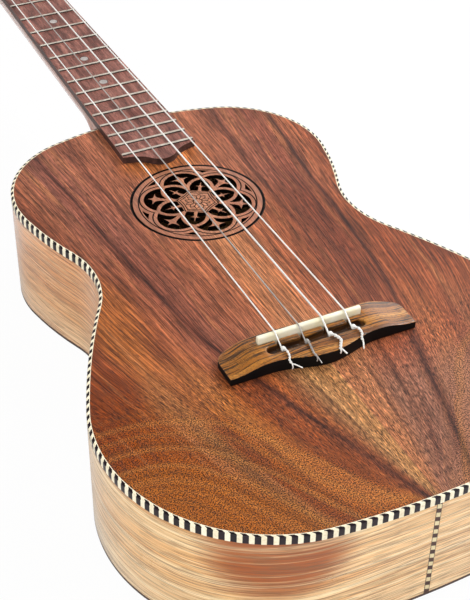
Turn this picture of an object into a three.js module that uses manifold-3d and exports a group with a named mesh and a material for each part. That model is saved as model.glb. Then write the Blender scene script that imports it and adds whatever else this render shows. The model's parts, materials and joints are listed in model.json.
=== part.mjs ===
// Baritone ukulele lying on its back: +X to the treble side, +Y to the headstock, +Z out of the soundboard.
// The origin is on the outer face of the back, on the centreline, under the saddle line.
// Sizes are in millimetres and angles in degrees.
import * as THREE from 'three';
import { mergeVertices } from 'three/addons/utils/BufferGeometryUtils.js';
import Module from 'manifold-3d';

const wasm = await Module();
wasm.setup();

// Overall and body
const scaleLength = 510;
const bodyDepth = 63.5;
const bodyEndFromSaddle = 221.1;
const shoulderRadius = 180;
const shoulderTurn = 16.2;
const upperBoutRadius = 57;
const upperBoutTurn = 84.3;
const upperFlankRadius = 187;
const upperFlankTurn = 12.1;
const waistRadius = 52;
const waistTurn = 53.3;
const lowerFlankRadius = 408;
const lowerFlankTurn = 10.4;
const lowerBoutRadius = 80.8;
const lowerBoutTurn = 104.1;
const outlineStep = 20;
const outlineStepTurn = 10;
const plateThickness = 2.2;
const sideThickness = 2;
const bindingHeight = 4.3;
const bindingThickness = 1.4;
const graftWidth = 2.8;

// Clearances: one for pieces that seat on or in each other, one that cuts run past their work
const seatGap = 0.3;
const overrun = 20;

// Soundhole and rosette
const rosetteAhead = 126.4;
const soundholeRadius = 36.2;
const ringLedge = 3;
const ringOverlap = 8;
const ringThickness = 1.8;
const rosetteFold = 6;
const outerLobeRadius = 11.1;
const outerLobeOffset = 18.2;
const ribWidth = 2;
const innerLobeRadius = 8.9;
const innerLobeOffset = 13.7;
const innerLobeSpread = 3.2;
const innerLobeStart = 10.1;
const rimCutRadius = 31;
const rimCutMargin = 2.5;
const cuspReach = 5.2;
const cuspCentre = 23.2;
const cuspTop = 27.2;
const cuspRoot = 15;
const cuspStem = 1.3;
const crossReach = 2.7;
const crossCentre = 14.6;
const crossTip = 19.2;
const crossRoot = 9;
const crossStem = 1.2;
const cuspWaistShare = 0.3;

// Inside the body
const liningWidth = 6;
const liningHeight = 9;
const liningFoot = 3;
const neckBlockWidth = 58;
const neckBlockLength = 22;
const tailBlockWidth = 50;
const tailBlockLength = 14;
const braceWidth = 6;
const braceHeight = 8;
const braceEndHeight = 1.6;
const braceTaper = 26;
const braceMargin = 1.5;
const upperBraceAhead = 176;
const lowerBraceAhead = 78;
const fanStart = 66;
const fanEnd = -84;
const fanSpread = 30;
const fanAngle = 9;
const fanWidth = 5;
const fanHeight = 6;
const bridgePlateMargin = 3;
const bridgePlateThickness = 1.8;
const backBraceHeight = 10;
const upperBackBraceAhead = 160;
const waistBackBraceAhead = 78;
const lowerBackBraceAhead = -34;

// Neck, heel and headstock
const nutWidth = 33.5;
const lastFretWidth = 43.9;
const neckDepth = 15.5;
const heelThickness = 13;
const heelSweep = 12;
const heelBottomWidth = 26;
const shaftWidthShare = 0.75;
const shaftDepthShare = 0.9;
const heelCornerShare = 0.75;
const heelCornerBendShare = 0.7;
const heelSpacingShare = 0.6;
const headAngle = 11;
const headLength = 150;
const headThickness = 12;
const headRoot = 8;
const headFlareStart = 4;
const headFlareEnd = 32;
const headFlareWidth = 57;
const headWaistWidth = 54;
const headWaistPlace = 82;
const headTopWidth = 61;
const headTopPlace = 134;
const headCornerRadius = 9;
const veneerThickness = 1.8;

// Fretboard, frets, dots and nut
const boardThickness = 4;
const fretCount = 18;
const boardPastLastFret = 2.5;
const boardTongue = 12.7;
const ogeeWidthShares = [0.72, 0.52, 0.4, 0.3, 0.16];
const ogeeDropShares = [0.1, 0.28, 0.52, 0.8];
const fretWidth = 2.2;
const fretHeight = 0.9;
const fretInset = 0.3;
const crownWidthShare = 0.75;
const crownHeightShare = 0.7;
const tangWidth = 0.6;
const tangDepth = 1.6;
const dotFrets = [5, 7, 10, 12];
const dotRadius = 2.5;
const dotDepth = 1.5;
const nutThickness = 5;
const nutHeight = 5.7;
const nutSlotDepth = 0.8;
const nutBackShare = 0.75;

// Bridge and saddle
const bridgeHalfLength = 49.2;
const bridgeFront = 5.4;
const bridgeBack = 15;
const bridgeBulge = 5.4;
const bridgeBulgeReach = 28;
const bridgeCornerLength = 15;
const bridgeCornerDepth = 8.4;
const bridgeHeight = 7;
const bridgeWingHeight = 4;
const bridgeWingStart = 28;
const saddleHalfLength = 27.5;
const saddleThickness = 2.8;
const saddleAhead = 0.2;
const saddleHeight = 10.6;
const saddleSlotDepth = 4.4;
const troughHalfLength = 26;
const troughFront = -4.6;
const troughWidth = 5.5;
const troughDepth = 4;
const notchWidth = 1.6;
const bridgeRoutingAside = -1;

// Strings
const stringDiameters = [0.7, 0.65, 0.95, 0.8];
const stringSpanAtNut = 30;
const stringSpanAtSaddle = 37.2;
const stringSides = 6;
const knotRadius = 1.2;
const tailReach = 24.5;
const tailSway = 2.4;
const tailSwayShares = [1, 0.5, -0.4, 0.3, 0.1];
const tailDropShare = 0.35;
const crownRiseShare = 0.7;
const windingTurns = 2.5;
const windingPitch = 1.45;
const windingLift = 1.3;
const windingSteps = 24;
const windingBend = 1.1;
const tailPastPost = 2;

// Tuners
const postRadius = 3;
const postWaistRadius = 2.7;
const postSide = 17.5;
const firstPostPlace = 48;
const postFromTip = 50;
const secondPostPlace = headLength - postFromTip;
const postHeight = 14.6;
const postCapHeight = 2.6;
const postTipShare = 0.75;
const windingStart = 5;
const postHoleRadius = 0.85;
const bushingSleeveRadius = 4.2;
const bushingNutWidth = 10;
const bushingNutHeight = 2;
const washerRadius = 6.3;
const washerThickness = 0.8;
const bushingDepth = 8;
const housingThickness = 9;
const housingInner = 7;
const housingOuter = 8;
const housingNear = 5.2;
const housingFar = 10.8;
const housingCorner = 2.4;
const wormOffset = 6.4;
const wormBoreDepth = 14;
const shaftRadius = 2;
const bossRadius = 3.7;
const bossLength = 3;
const lugLength = 5.2;
const lugThickness = 2.4;
const lugWidth = 7;
const postBoreDepth = 6;
const buttonStart = 15.5;
const buttonLength = 13;
const buttonHeight = 18;
const buttonThickness = 7.4;
const buttonNeck = 5;
const buttonBevel = 1.2;
const buttonLengthShares = [0.2, 0.55, 0.75];
const buttonWidthShares = [0.6, 0.86];
const shaftInButton = 8;
const screwRadius = 1.1;
const screwHeadRadius = 2.2;
const screwHeadHeight = 1.2;
const buttonScrewLength = 6;
const housingScrewLength = 9;

// Places that follow from the driving dimensions
const topFace = bodyDepth;
const plateUnderside = topFace - plateThickness;
const boardTop = topFace + boardThickness;
const nutEnd = scaleLength + nutThickness;
const headFaceHeight = topFace - veneerThickness - seatGap;
const veneerTop = seatGap + veneerThickness;

const radians = THREE.MathUtils.degToRad;

// Materials
function finish(colour, roughness, metalness = 0) {
  return new THREE.MeshStandardMaterial({ color: colour, roughness, metalness });
}
const topWood = finish(0x8c4a28, 0.35);
const sideWood = finish(0xc8945c, 0.35);
const rosetteWood = finish(0xb0806a, 0.5);
const edgeWood = finish(0x4a2c20, 0.4);
const ropeInlay = finish(0x7a6a5c, 0.4);
const spruce = finish(0xd8b888, 0.8);
const blockWood = finish(0xa87850, 0.8);
const neckWood = finish(0x8a5636, 0.4);
const boardWood = finish(0x5c3a34, 0.5);
const bridgeWood = finish(0x94602e, 0.45);
const bone = finish(0xf0e4c0, 0.35);
const pearl = finish(0xdcdcd6, 0.25);
const tunerMetal = finish(0xc4c4c8, 0.25, 1);
const buttonPlastic = finish(0xeae4d2, 0.3);
const nylon = finish(0xf2f0ec, 0.3);

// Geometry helpers
function closed(geometry) {
  const bare = geometry.clone();
  bare.deleteAttribute('normal');
  bare.deleteAttribute('uv');
  return mergeVertices(bare);
}

function signedVolume(geometry) {
  const place = geometry.attributes.position;
  const index = geometry.index.array;
  const corners = [new THREE.Vector3(), new THREE.Vector3(), new THREE.Vector3()];
  let sum = 0;
  for (let i = 0; i < index.length; i += 3) {
    corners.forEach((corner, k) => corner.fromBufferAttribute(place, index[i + k]));
    sum += corners[0].dot(corners[1].cross(corners[2]));
  }
  return sum;
}

function facingOut(geometry) {
  const merged = closed(geometry);
  if (signedVolume(merged) < 0) {
    const index = merged.index.array;
    for (let i = 0; i < index.length; i += 3) {
      [index[i], index[i + 1]] = [index[i + 1], index[i]];
    }
  }
  return merged;
}

function solid(geometry) {
  const merged = facingOut(geometry);
  const mesh = new wasm.Mesh({
    numProp: 3,
    vertProperties: new Float32Array(merged.attributes.position.array),
    triVerts: new Uint32Array(merged.index.array),
  });
  return new wasm.Manifold(mesh);
}

function surface(manifold) {
  const mesh = manifold.getMesh();
  const geometry = new THREE.BufferGeometry();
  geometry.setAttribute('position', new THREE.BufferAttribute(new Float32Array(mesh.vertProperties), 3));
  geometry.setIndex(new THREE.BufferAttribute(new Uint32Array(mesh.triVerts), 1));
  return geometry;
}

function cut(body, ...tools) {
  return tools.reduce((rest, tool) => rest.subtract(tool), body);
}

function joined(first, ...others) {
  return others.reduce((sum, other) => sum.add(other), first);
}

// A loft through rings of points that all have the same count, closed on itself or capped at its ends
function loft(rings, endless = false) {
  const count = rings[0].length;
  const points = rings.flat();
  const faces = [];
  const spans = endless ? rings.length : rings.length - 1;
  for (let ring = 0; ring < spans; ring += 1) {
    const here = ring * count;
    const there = ((ring + 1) % rings.length) * count;
    for (let i = 0; i < count; i += 1) {
      const next = (i + 1) % count;
      faces.push(here + i, here + next, there + next);
      faces.push(here + i, there + next, there + i);
    }
  }
  if (!endless) {
    const last = (rings.length - 1) * count;
    for (let i = 1; i < count - 1; i += 1) {
      faces.push(0, i + 1, i);
      faces.push(last, last + i, last + i + 1);
    }
  }
  const geometry = new THREE.BufferGeometry();
  const places = points.flatMap((point) => [point.x, point.y, point.z]);
  geometry.setAttribute('position', new THREE.Float32BufferAttribute(places, 3));
  geometry.setIndex(faces);
  return geometry;
}

function slab(shape, bottom, top, curveSegments = 12) {
  const depth = top - bottom;
  const geometry = new THREE.ExtrudeGeometry(shape, { depth, bevelEnabled: false, curveSegments });
  geometry.translate(0, 0, bottom);
  return geometry;
}

// A profile drawn in Y and Z, drawn out along X about the centreline
function bar(shape, length, curveSegments = 12) {
  const geometry = new THREE.ExtrudeGeometry(shape, { depth: length, bevelEnabled: false, curveSegments });
  geometry.translate(0, 0, -length / 2);
  const turn = new THREE.Matrix4().makeBasis(
    new THREE.Vector3(0, 1, 0),
    new THREE.Vector3(0, 0, 1),
    new THREE.Vector3(1, 0, 0),
  );
  return geometry.applyMatrix4(turn);
}

function box(x0, x1, y0, y1, z0, z1) {
  const geometry = new THREE.BoxGeometry(x1 - x0, y1 - y0, z1 - z0);
  return geometry.translate((x0 + x1) / 2, (y0 + y1) / 2, (z0 + z1) / 2);
}

function upright(radius, bottom, top, sides = 24) {
  const geometry = new THREE.CylinderGeometry(radius, radius, top - bottom, sides);
  return geometry.rotateX(Math.PI / 2).translate(0, 0, (bottom + top) / 2);
}

function alongX(radius, x0, x1, sides = 16) {
  const geometry = new THREE.CylinderGeometry(radius, radius, Math.abs(x1 - x0), sides);
  return geometry.rotateZ(Math.PI / 2).translate((x0 + x1) / 2, 0, 0);
}

function polygon(points) {
  return new THREE.Shape(points.map(([x, y]) => new THREE.Vector2(x, y)));
}

// Body outline: a chain of tangent arcs down the treble side, from the neck end to the tail
function outlineArcs() {
  const bends = [
    [shoulderRadius, shoulderTurn, 1],
    [upperBoutRadius, upperBoutTurn, 1],
    [upperFlankRadius, upperFlankTurn, 1],
    [waistRadius, waistTurn, -1],
    [lowerFlankRadius, lowerFlankTurn, 1],
    [lowerBoutRadius, lowerBoutTurn, 1],
  ];
  const arcs = [];
  let x = 0;
  let y = bodyEndFromSaddle;
  let heading = 0;
  for (const [radius, turn, bend] of bends) {
    const centre = [x - bend * radius * Math.sin(heading), y - bend * radius * Math.cos(heading)];
    arcs.push({ centre, radius, bend, from: heading, to: heading + bend * radians(turn) });
    heading += bend * radians(turn);
    x = centre[0] + bend * radius * Math.sin(heading);
    y = centre[1] + bend * radius * Math.cos(heading);
  }
  const tailRadius = x / Math.sin(Math.PI - heading);
  const centre = [0, y - tailRadius * Math.cos(heading)];
  arcs.push({ centre, radius: tailRadius, bend: 1, from: heading, to: Math.PI });
  return arcs;
}

// Stations along the half outline: each holds its distance, its point and the way out of the body
function outlineStations() {
  const stations = [];
  let distance = 0;
  for (const arc of outlineArcs()) {
    const turn = Math.abs(arc.to - arc.from);
    const length = arc.radius * turn;
    const steps = Math.ceil(Math.max(length / outlineStep, turn / radians(outlineStepTurn)));
    for (let i = stations.length ? 1 : 0; i <= steps; i += 1) {
      const heading = arc.from + ((arc.to - arc.from) * i) / steps;
      stations.push({
        distance: distance + (length * i) / steps,
        x: arc.centre[0] + arc.bend * arc.radius * Math.sin(heading),
        y: arc.centre[1] + arc.bend * arc.radius * Math.cos(heading),
        outX: Math.sin(heading),
        outY: Math.cos(heading),
      });
    }
    distance += length;
  }
  stations[stations.length - 1].x = 0;
  stations[stations.length - 1].outX = 0;
  return stations;
}
const stations = outlineStations();
const halfOutline = stations[stations.length - 1].distance;
const tailEnd = stations[stations.length - 1].y;

function stationAt(distance) {
  const next = Math.max(1, stations.findIndex((station) => station.distance >= distance));
  const a = stations[next - 1];
  const b = stations[next];
  const share = (distance - a.distance) / (b.distance - a.distance);
  const blend = (key) => a[key] + (b[key] - a[key]) * share;
  return { distance, x: blend('x'), y: blend('y'), outX: blend('outX'), outY: blend('outY') };
}

function stationsBetween(from, to) {
  const inner = stations.filter((station) => station.distance > from && station.distance < to);
  return [stationAt(from), ...inner, stationAt(to)];
}

function insetPoint(station, inset, side = 1) {
  return [side * (station.x - inset * station.outX), station.y - inset * station.outY];
}

function outlineShape(inset) {
  const treble = stations.map((station) => insetPoint(station, inset));
  const bass = stations.slice(1, -1).reverse().map((station) => insetPoint(station, inset, -1));
  return polygon([...treble, ...bass]);
}

// Distance along the half outline at which it has come a given way out from the centreline
function distanceAtHalfWidth(halfWidth, atTail = false) {
  const list = atTail ? [...stations].reverse() : stations;
  const far = list.findIndex((station) => station.x >= halfWidth);
  const a = list[far - 1];
  const b = list[far];
  return a.distance + ((b.distance - a.distance) * (halfWidth - a.x)) / (b.x - a.x);
}

// Half width of the body at a place along it, measured to a face that lies inside the outline
function halfWidthAt(y, inset) {
  const points = stations.map((station) => insetPoint(station, inset));
  const below = points.findIndex((point) => point[1] <= y);
  const a = points[below - 1];
  const b = points[below];
  return a[0] + ((b[0] - a[0]) * (a[1] - y)) / (a[1] - b[1]);
}

// A band that follows one half of the outline, with a section drawn as inset and height
function outlineBand(section, from, to, side) {
  const rings = stationsBetween(from, to).map((station) =>
    section.map(([inset, height]) => {
      const [x, y] = insetPoint(station, inset, side);
      return new THREE.Vector3(x, y, height);
    }));
  return facingOut(loft(rings));
}

function outlineRing(section) {
  const ringAt = (station, side) =>
    section.map(([inset, height]) => {
      const [x, y] = insetPoint(station, inset, side);
      return new THREE.Vector3(x, y, height);
    });
  const treble = stations.map((station) => ringAt(station, 1));
  const bass = stations.slice(1, -1).reverse().map((station) => ringAt(station, -1));
  return facingOut(loft([...treble, ...bass], true));
}

function rectangle(inset0, inset1, z0, z1) {
  return [[inset0, z0], [inset1, z0], [inset1, z1], [inset0, z1]];
}

// Soundboard, back, sides and trim
function soundboard() {
  const shape = outlineShape(bindingThickness + seatGap);
  const hole = new THREE.Path().absarc(0, rosetteAhead, soundholeRadius, 0, 2 * Math.PI);
  shape.holes.push(hole);
  return facingOut(slab(shape, plateUnderside, topFace, 24));
}

function backPlate() {
  return facingOut(slab(outlineShape(0), 0, plateThickness));
}

const sideTop = topFace - bindingHeight - seatGap;
const sideEnd = halfOutline - graftWidth / 2 - seatGap;

function bodySide(side) {
  return outlineBand(rectangle(0, sideThickness, plateThickness, sideTop), seatGap / 2, sideEnd, side);
}

function ropeBinding() {
  return outlineRing(rectangle(0, bindingThickness, topFace - bindingHeight, topFace));
}

function endGraft() {
  const half = graftWidth / 2;
  return facingOut(box(-half, half, tailEnd, tailEnd + sideThickness, plateThickness, sideTop));
}

// Blocks and linings
const liningInset = sideThickness + seatGap;
const blockBottom = plateThickness;
const blockTop = plateUnderside;

function endBlock(width, length, atTail) {
  const edge = distanceAtHalfWidth(width / 2, atTail);
  const [from, to] = atTail ? [edge, halfOutline] : [0, edge];
  const treble = stationsBetween(from, to).map((station) => insetPoint(station, liningInset));
  if (!atTail) {
    treble.reverse();
  }
  const bass = treble.slice(0, -1).reverse().map(([x, y]) => [-x, y]);
  const innerFace = treble[treble.length - 1][1] + (atTail ? length : -length);
  const side = treble[0][0];
  const outline = polygon([[side, innerFace], ...treble, ...bass, [-side, innerFace]]);
  return facingOut(slab(outline, blockBottom, blockTop));
}

function lining(foot, direction, side) {
  const from = distanceAtHalfWidth(neckBlockWidth / 2 - liningWidth);
  const to = distanceAtHalfWidth(tailBlockWidth / 2 - liningWidth, true);
  const section = [
    [liningInset, foot],
    [liningInset + liningWidth, foot],
    [liningInset + liningWidth, foot + direction * liningFoot],
    [liningInset + sideThickness, foot + direction * liningHeight],
    [liningInset, foot + direction * liningHeight],
  ];
  const neckHalf = neckBlockWidth / 2 + seatGap;
  const tailHalf = tailBlockWidth / 2 + seatGap;
  const atNeck = box(-neckHalf, neckHalf, 0, bodyEndFromSaddle + overrun, -overrun, topFace + overrun);
  const atTail = box(-tailHalf, tailHalf, tailEnd - overrun, 0, -overrun, topFace + overrun);
  return surface(cut(solid(outlineBand(section, from, to, side)), solid(atNeck), solid(atTail)));
}

// Braces: bars with tapered ends, glued by their flat foot to the soundboard or the back
function braceBar(length, width, height, foot, direction) {
  const half = length / 2;
  const taper = Math.min(braceTaper, half);
  const shape = new THREE.Shape();
  shape.moveTo(-half, 0);
  shape.lineTo(half, 0);
  shape.lineTo(half, braceEndHeight);
  shape.quadraticCurveTo(half - taper / 2, braceEndHeight, half - taper, height);
  shape.lineTo(-half + taper, height);
  shape.quadraticCurveTo(-half + taper / 2, braceEndHeight, -half, braceEndHeight);
  const geometry = new THREE.ExtrudeGeometry(shape, { depth: width, bevelEnabled: false, curveSegments: 5 });
  geometry.translate(0, 0, -width / 2);
  geometry.rotateX(Math.PI / 2);
  geometry.scale(1, 1, direction);
  return geometry.translate(0, 0, foot);
}

function crossBrace(ahead, height, foot, direction) {
  const inset = liningInset + liningWidth + braceMargin;
  const reach = Math.min(
    halfWidthAt(ahead + braceWidth / 2, inset),
    halfWidthAt(ahead - braceWidth / 2, inset),
  );
  return facingOut(braceBar(2 * reach, braceWidth, height, foot, direction).translate(0, ahead, 0));
}

const bridgeMiddle = (bridgeFront - bridgeBack) / 2;
const bridgePlateHalf = (bridgeFront + bridgeBack) / 2 + bridgeBulge + bridgePlateMargin;

function bridgePlateBox(margin) {
  const reach = bridgeHalfLength + bridgePlateMargin + margin;
  const depth = bridgePlateHalf + margin;
  return box(
    -reach, reach, bridgeMiddle - depth, bridgeMiddle + depth,
    plateUnderside - bridgePlateThickness - margin, plateUnderside + margin,
  );
}

function fanBrace(step) {
  const geometry = braceBar(fanStart - fanEnd, fanWidth, fanHeight, plateUnderside, -1);
  geometry.rotateZ(Math.PI / 2 + radians(-step * fanAngle));
  geometry.translate(step * fanSpread, (fanStart + fanEnd) / 2, 0);
  return surface(cut(solid(geometry), solid(bridgePlateBox(seatGap))));
}

function soundholeRing() {
  const shape = new THREE.Shape().absarc(0, rosetteAhead, soundholeRadius + ringOverlap, 0, 2 * Math.PI);
  shape.holes.push(new THREE.Path().absarc(0, rosetteAhead, soundholeRadius - ringLedge, 0, 2 * Math.PI));
  return facingOut(slab(shape, plateUnderside - ringThickness, plateUnderside, 20));
}

// Rosette: six outer lobes with cusped stars, six pointed inner lobes with crosses and six rim cuts
function disc(x, y, radius, sides = 32) {
  return solid(upright(radius, -overrun, overrun, sides).translate(x, y, 0));
}

function cuspedStar(root, centre, top, reach, stem) {
  const half = stem / 2;
  const waist = reach * cuspWaistShare;
  const shape = new THREE.Shape();
  shape.moveTo(root, -stem);
  shape.quadraticCurveTo(centre - waist * 2, -half, centre - waist, -waist);
  shape.quadraticCurveTo(centre, -waist, centre + waist / 2, -reach);
  shape.quadraticCurveTo(centre + waist / 2, -waist, centre + waist, -waist / 2);
  shape.lineTo(top, 0);
  shape.lineTo(centre + waist, waist / 2);
  shape.quadraticCurveTo(centre + waist / 2, waist, centre + waist / 2, reach);
  shape.quadraticCurveTo(centre, waist, centre - waist, waist);
  shape.quadraticCurveTo(centre - waist * 2, half, root, stem);
  return solid(slab(shape, -overrun, overrun, 3));
}

function outerLobeCut() {
  const lobe = disc(outerLobeOffset, 0, outerLobeRadius, 30);
  const neighbours = [];
  for (const side of [-1, 1]) {
    const angle = (side * Math.PI) / rosetteFold;
    const x = innerLobeOffset * Math.cos(angle) + innerLobeSpread * Math.sin(Math.abs(angle));
    const y = side * (innerLobeOffset * Math.sin(Math.abs(angle)) - innerLobeSpread * Math.cos(angle));
    const otherX = innerLobeOffset * Math.cos(angle) - innerLobeSpread * Math.sin(Math.abs(angle));
    const otherY = side * (innerLobeOffset * Math.sin(Math.abs(angle)) + innerLobeSpread * Math.cos(angle));
    const rib = innerLobeRadius + ribWidth;
    neighbours.push(disc(x, y, rib, 30).intersect(disc(otherX, otherY, rib, 30)));
  }
  return cut(lobe, ...neighbours, cuspedStar(cuspRoot, cuspCentre, cuspTop, cuspReach, cuspStem));
}

function innerLobeCut() {
  const almond = disc(innerLobeOffset, innerLobeSpread, innerLobeRadius, 28)
    .intersect(disc(innerLobeOffset, -innerLobeSpread, innerLobeRadius, 28));
  const hub = solid(box(-overrun, innerLobeStart, -overrun, overrun, -2 * overrun, 2 * overrun));
  return cut(almond, hub, cuspedStar(crossRoot, crossCentre, crossTip, crossReach, crossStem));
}

function rimCut() {
  const angle = Math.PI / rosetteFold;
  const lobes = [-1, 1].map((side) => disc(
    outerLobeOffset * Math.cos(angle),
    side * outerLobeOffset * Math.sin(angle),
    outerLobeRadius + ribWidth + rimCutMargin,
    40,
  ));
  const far = 2 * soundholeRadius;
  const inner = solid(box(-far, outerLobeOffset, -far, far, -far, far));
  const wedge = solid(slab(polygon([
    [0, 0],
    [far * Math.cos(angle), -far * Math.sin(angle)],
    [far * Math.cos(angle), far * Math.sin(angle)],
  ]), -overrun, overrun));
  return cut(disc(0, 0, rimCutRadius, 72).intersect(wedge), inner, ...lobes);
}

function rosette() {
  let plate = solid(upright(soundholeRadius - seatGap, -plateThickness, 0, 60));
  const between = 360 / rosetteFold;
  for (let fold = 0; fold < rosetteFold; fold += 1) {
    plate = cut(
      plate,
      outerLobeCut().rotate([0, 0, between * (fold + 0.5)]),
      innerLobeCut().rotate([0, 0, between * fold]),
      rimCut().rotate([0, 0, between * fold]),
    );
  }
  return surface(plate).translate(0, rosetteAhead, topFace);
}

// Neck: D-shaped shaft, heel that follows the body's end, and the headstock tilted back
const lastFretPlace = scaleLength * 2 ** (-fretCount / 12);

function boardHalfWidth(y) {
  const share = (scaleLength - y) / (scaleLength - lastFretPlace);
  return (nutWidth + (lastFretWidth - nutWidth) * share) / 2;
}

const heelBottom = plateThickness + seatGap;
const heelDepth = topFace - heelBottom;
const heelFront = bodyEndFromSaddle + heelThickness;

function neckSection(y, depth) {
  const halfWidth = boardHalfWidth(y);
  const halfFoot = heelBottomWidth / 2;
  const heelShare = (depth - neckDepth) / (heelDepth - neckDepth);
  const count = 8;
  const half = [];
  for (let i = 0; i <= count; i += 1) {
    const share = i / count;
    const angle = (share * Math.PI) / 2;
    const shaftX = halfWidth * Math.cos(angle) ** shaftWidthShare;
    const shaftZ = Math.sin(angle) ** shaftDepthShare;
    const down = Math.min(1, share / heelCornerShare);
    const across = Math.max(0, (share - heelCornerShare) / (1 - heelCornerShare));
    const flank = halfWidth + (halfFoot - halfWidth) * down ** heelCornerBendShare;
    const heelX = flank * (1 - across);
    half.push([
      shaftX + (heelX - shaftX) * heelShare,
      topFace - depth * (shaftZ + (down - shaftZ) * heelShare),
    ]);
  }
  const right = half.map(([x, z]) => new THREE.Vector3(x, y, z));
  const left = half.slice(0, -1).reverse().map(([x, z]) => new THREE.Vector3(-x, y, z));
  return [...right, ...left];
}

function neckShaft() {
  const rings = [neckSection(bodyEndFromSaddle - heelThickness, heelDepth)];
  const heelSteps = 8;
  for (let i = 0; i <= heelSteps; i += 1) {
    const share = 1 - (1 - i / heelSteps) ** heelSpacingShare;
    const rest = 1 - share;
    const depth = neckDepth + (heelDepth - neckDepth) * (1 - Math.sqrt(Math.max(0, 1 - rest ** 2)));
    rings.push(neckSection(heelFront + heelSweep * share, depth));
  }
  rings.push(neckSection((heelFront + heelSweep + nutEnd) / 2, neckDepth));
  rings.push(neckSection(nutEnd, neckDepth));
  return solid(loft(rings));
}

function bodyPrism(clearance) {
  return solid(slab(outlineShape(-clearance), -overrun, topFace + overrun));
}

// The headstock's own frame: its face is the plane at zero height, with the nut's end at zero
const headFrame = new THREE.Matrix4()
  .makeTranslation(0, nutEnd + seatGap, headFaceHeight)
  .multiply(new THREE.Matrix4().makeRotationX(-radians(headAngle)));

function inHeadFrame(geometry) {
  return geometry.applyMatrix4(headFrame);
}

function headShape(root) {
  const narrow = nutWidth / 2 - seatGap;
  const flare = headFlareWidth / 2;
  const waist = headWaistWidth / 2;
  const top = headTopWidth / 2;
  const middle = (headFlareStart + headFlareEnd) / 2;
  const cornerEnd = headTopPlace + headCornerRadius;
  const shape = new THREE.Shape();
  shape.moveTo(-narrow, root);
  shape.lineTo(narrow, root);
  shape.lineTo(narrow, headFlareStart);
  shape.bezierCurveTo(narrow, middle, flare, middle, flare, headFlareEnd);
  shape.quadraticCurveTo(waist, headWaistPlace, top, headTopPlace);
  shape.quadraticCurveTo(top, cornerEnd, top - headCornerRadius, cornerEnd);
  shape.quadraticCurveTo(top / 2, headLength, 0, headLength);
  shape.quadraticCurveTo(-top / 2, headLength, headCornerRadius - top, cornerEnd);
  shape.quadraticCurveTo(-top, cornerEnd, -top, headTopPlace);
  shape.quadraticCurveTo(-waist, headWaistPlace, -flare, headFlareEnd);
  shape.bezierCurveTo(-flare, middle, -narrow, middle, -narrow, headFlareStart);
  return shape;
}

// One tuner for each string: its side of the headstock and its place along it
const tuners = [
  { number: 4, side: -1, place: firstPostPlace },
  { number: 3, side: -1, place: secondPostPlace },
  { number: 2, side: 1, place: secondPostPlace },
  { number: 1, side: 1, place: firstPostPlace },
];

const housingTop = -headThickness - seatGap;
const lugScrewPlace = -(housingNear + lugLength / 2);

function tunerHoles(bottom, top) {
  return tuners.flatMap(({ side, place }) => {
    const hole = upright(bushingSleeveRadius + seatGap, bottom, top, 16);
    return solid(inHeadFrame(hole.translate(side * postSide, place, 0)));
  });
}

function screwHoles() {
  const depth = housingScrewLength - lugThickness + seatGap;
  return tuners.map(({ side, place }) => {
    const hole = upright(screwRadius + seatGap, -headThickness - overrun, depth - headThickness, 8);
    return solid(inHeadFrame(hole.translate(side * postSide, place + lugScrewPlace, 0)));
  });
}

function neck() {
  const head = solid(inHeadFrame(slab(headShape(-headRoot), -headThickness, 0, 5)));
  return surface(cut(
    joined(neckShaft(), head),
    bodyPrism(seatGap),
    ...tunerHoles(-headThickness - overrun, overrun),
    ...screwHoles(),
  ));
}

function heelCap() {
  const half = heelBottomWidth / 2;
  const shape = new THREE.Shape();
  shape.moveTo(-half, bodyEndFromSaddle - heelThickness);
  shape.lineTo(half, bodyEndFromSaddle - heelThickness);
  shape.lineTo(half, bodyEndFromSaddle + heelThickness / 2);
  shape.quadraticCurveTo(half, heelFront, 0, heelFront);
  shape.quadraticCurveTo(-half, heelFront, -half, bodyEndFromSaddle + heelThickness / 2);
  return surface(cut(solid(slab(shape, 0, plateThickness)), bodyPrism(seatGap)));
}

function headVeneer() {
  const sheet = solid(inHeadFrame(slab(headShape(0), seatGap, veneerTop, 5)));
  return surface(cut(sheet, ...tunerHoles(-overrun, overrun)));
}

// Fretboard with its slots and dot pockets, frets, dots and nut
function fretPlace(number) {
  return scaleLength * 2 ** (-number / 12);
}

function fretboard() {
  const corner = lastFretPlace - boardPastLastFret;
  const half = boardHalfWidth(corner);
  const nutHalf = nutWidth / 2;
  const tip = lastFretPlace - boardTongue;
  const drop = corner - tip;
  const shape = new THREE.Shape();
  shape.moveTo(nutHalf, scaleLength);
  shape.lineTo(-nutHalf, scaleLength);
  shape.lineTo(-half, corner);
  const wide = ogeeWidthShares.map((share) => half * share);
  const down = ogeeDropShares.map((share) => corner - drop * share);
  shape.bezierCurveTo(-wide[0], down[0], -wide[1], down[1], -wide[2], down[2]);
  shape.bezierCurveTo(-wide[3], down[3], -wide[4], tip, 0, tip);
  shape.bezierCurveTo(wide[4], tip, wide[3], down[3], wide[2], down[2]);
  shape.bezierCurveTo(wide[1], down[1], wide[0], down[0], half, corner);
  const pockets = dotFrets.map((number) => {
    const pocket = upright(dotRadius + seatGap, boardTop - dotDepth, boardTop + overrun, 20);
    return solid(pocket.translate(0, dotPlace(number), 0));
  });
  const board = cut(solid(slab(shape, topFace, boardTop, 6)), ...pockets);
  return surface(joined(board, ...frets()));
}

function dotPlace(number) {
  return (fretPlace(number) + fretPlace(number - 1)) / 2;
}

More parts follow.
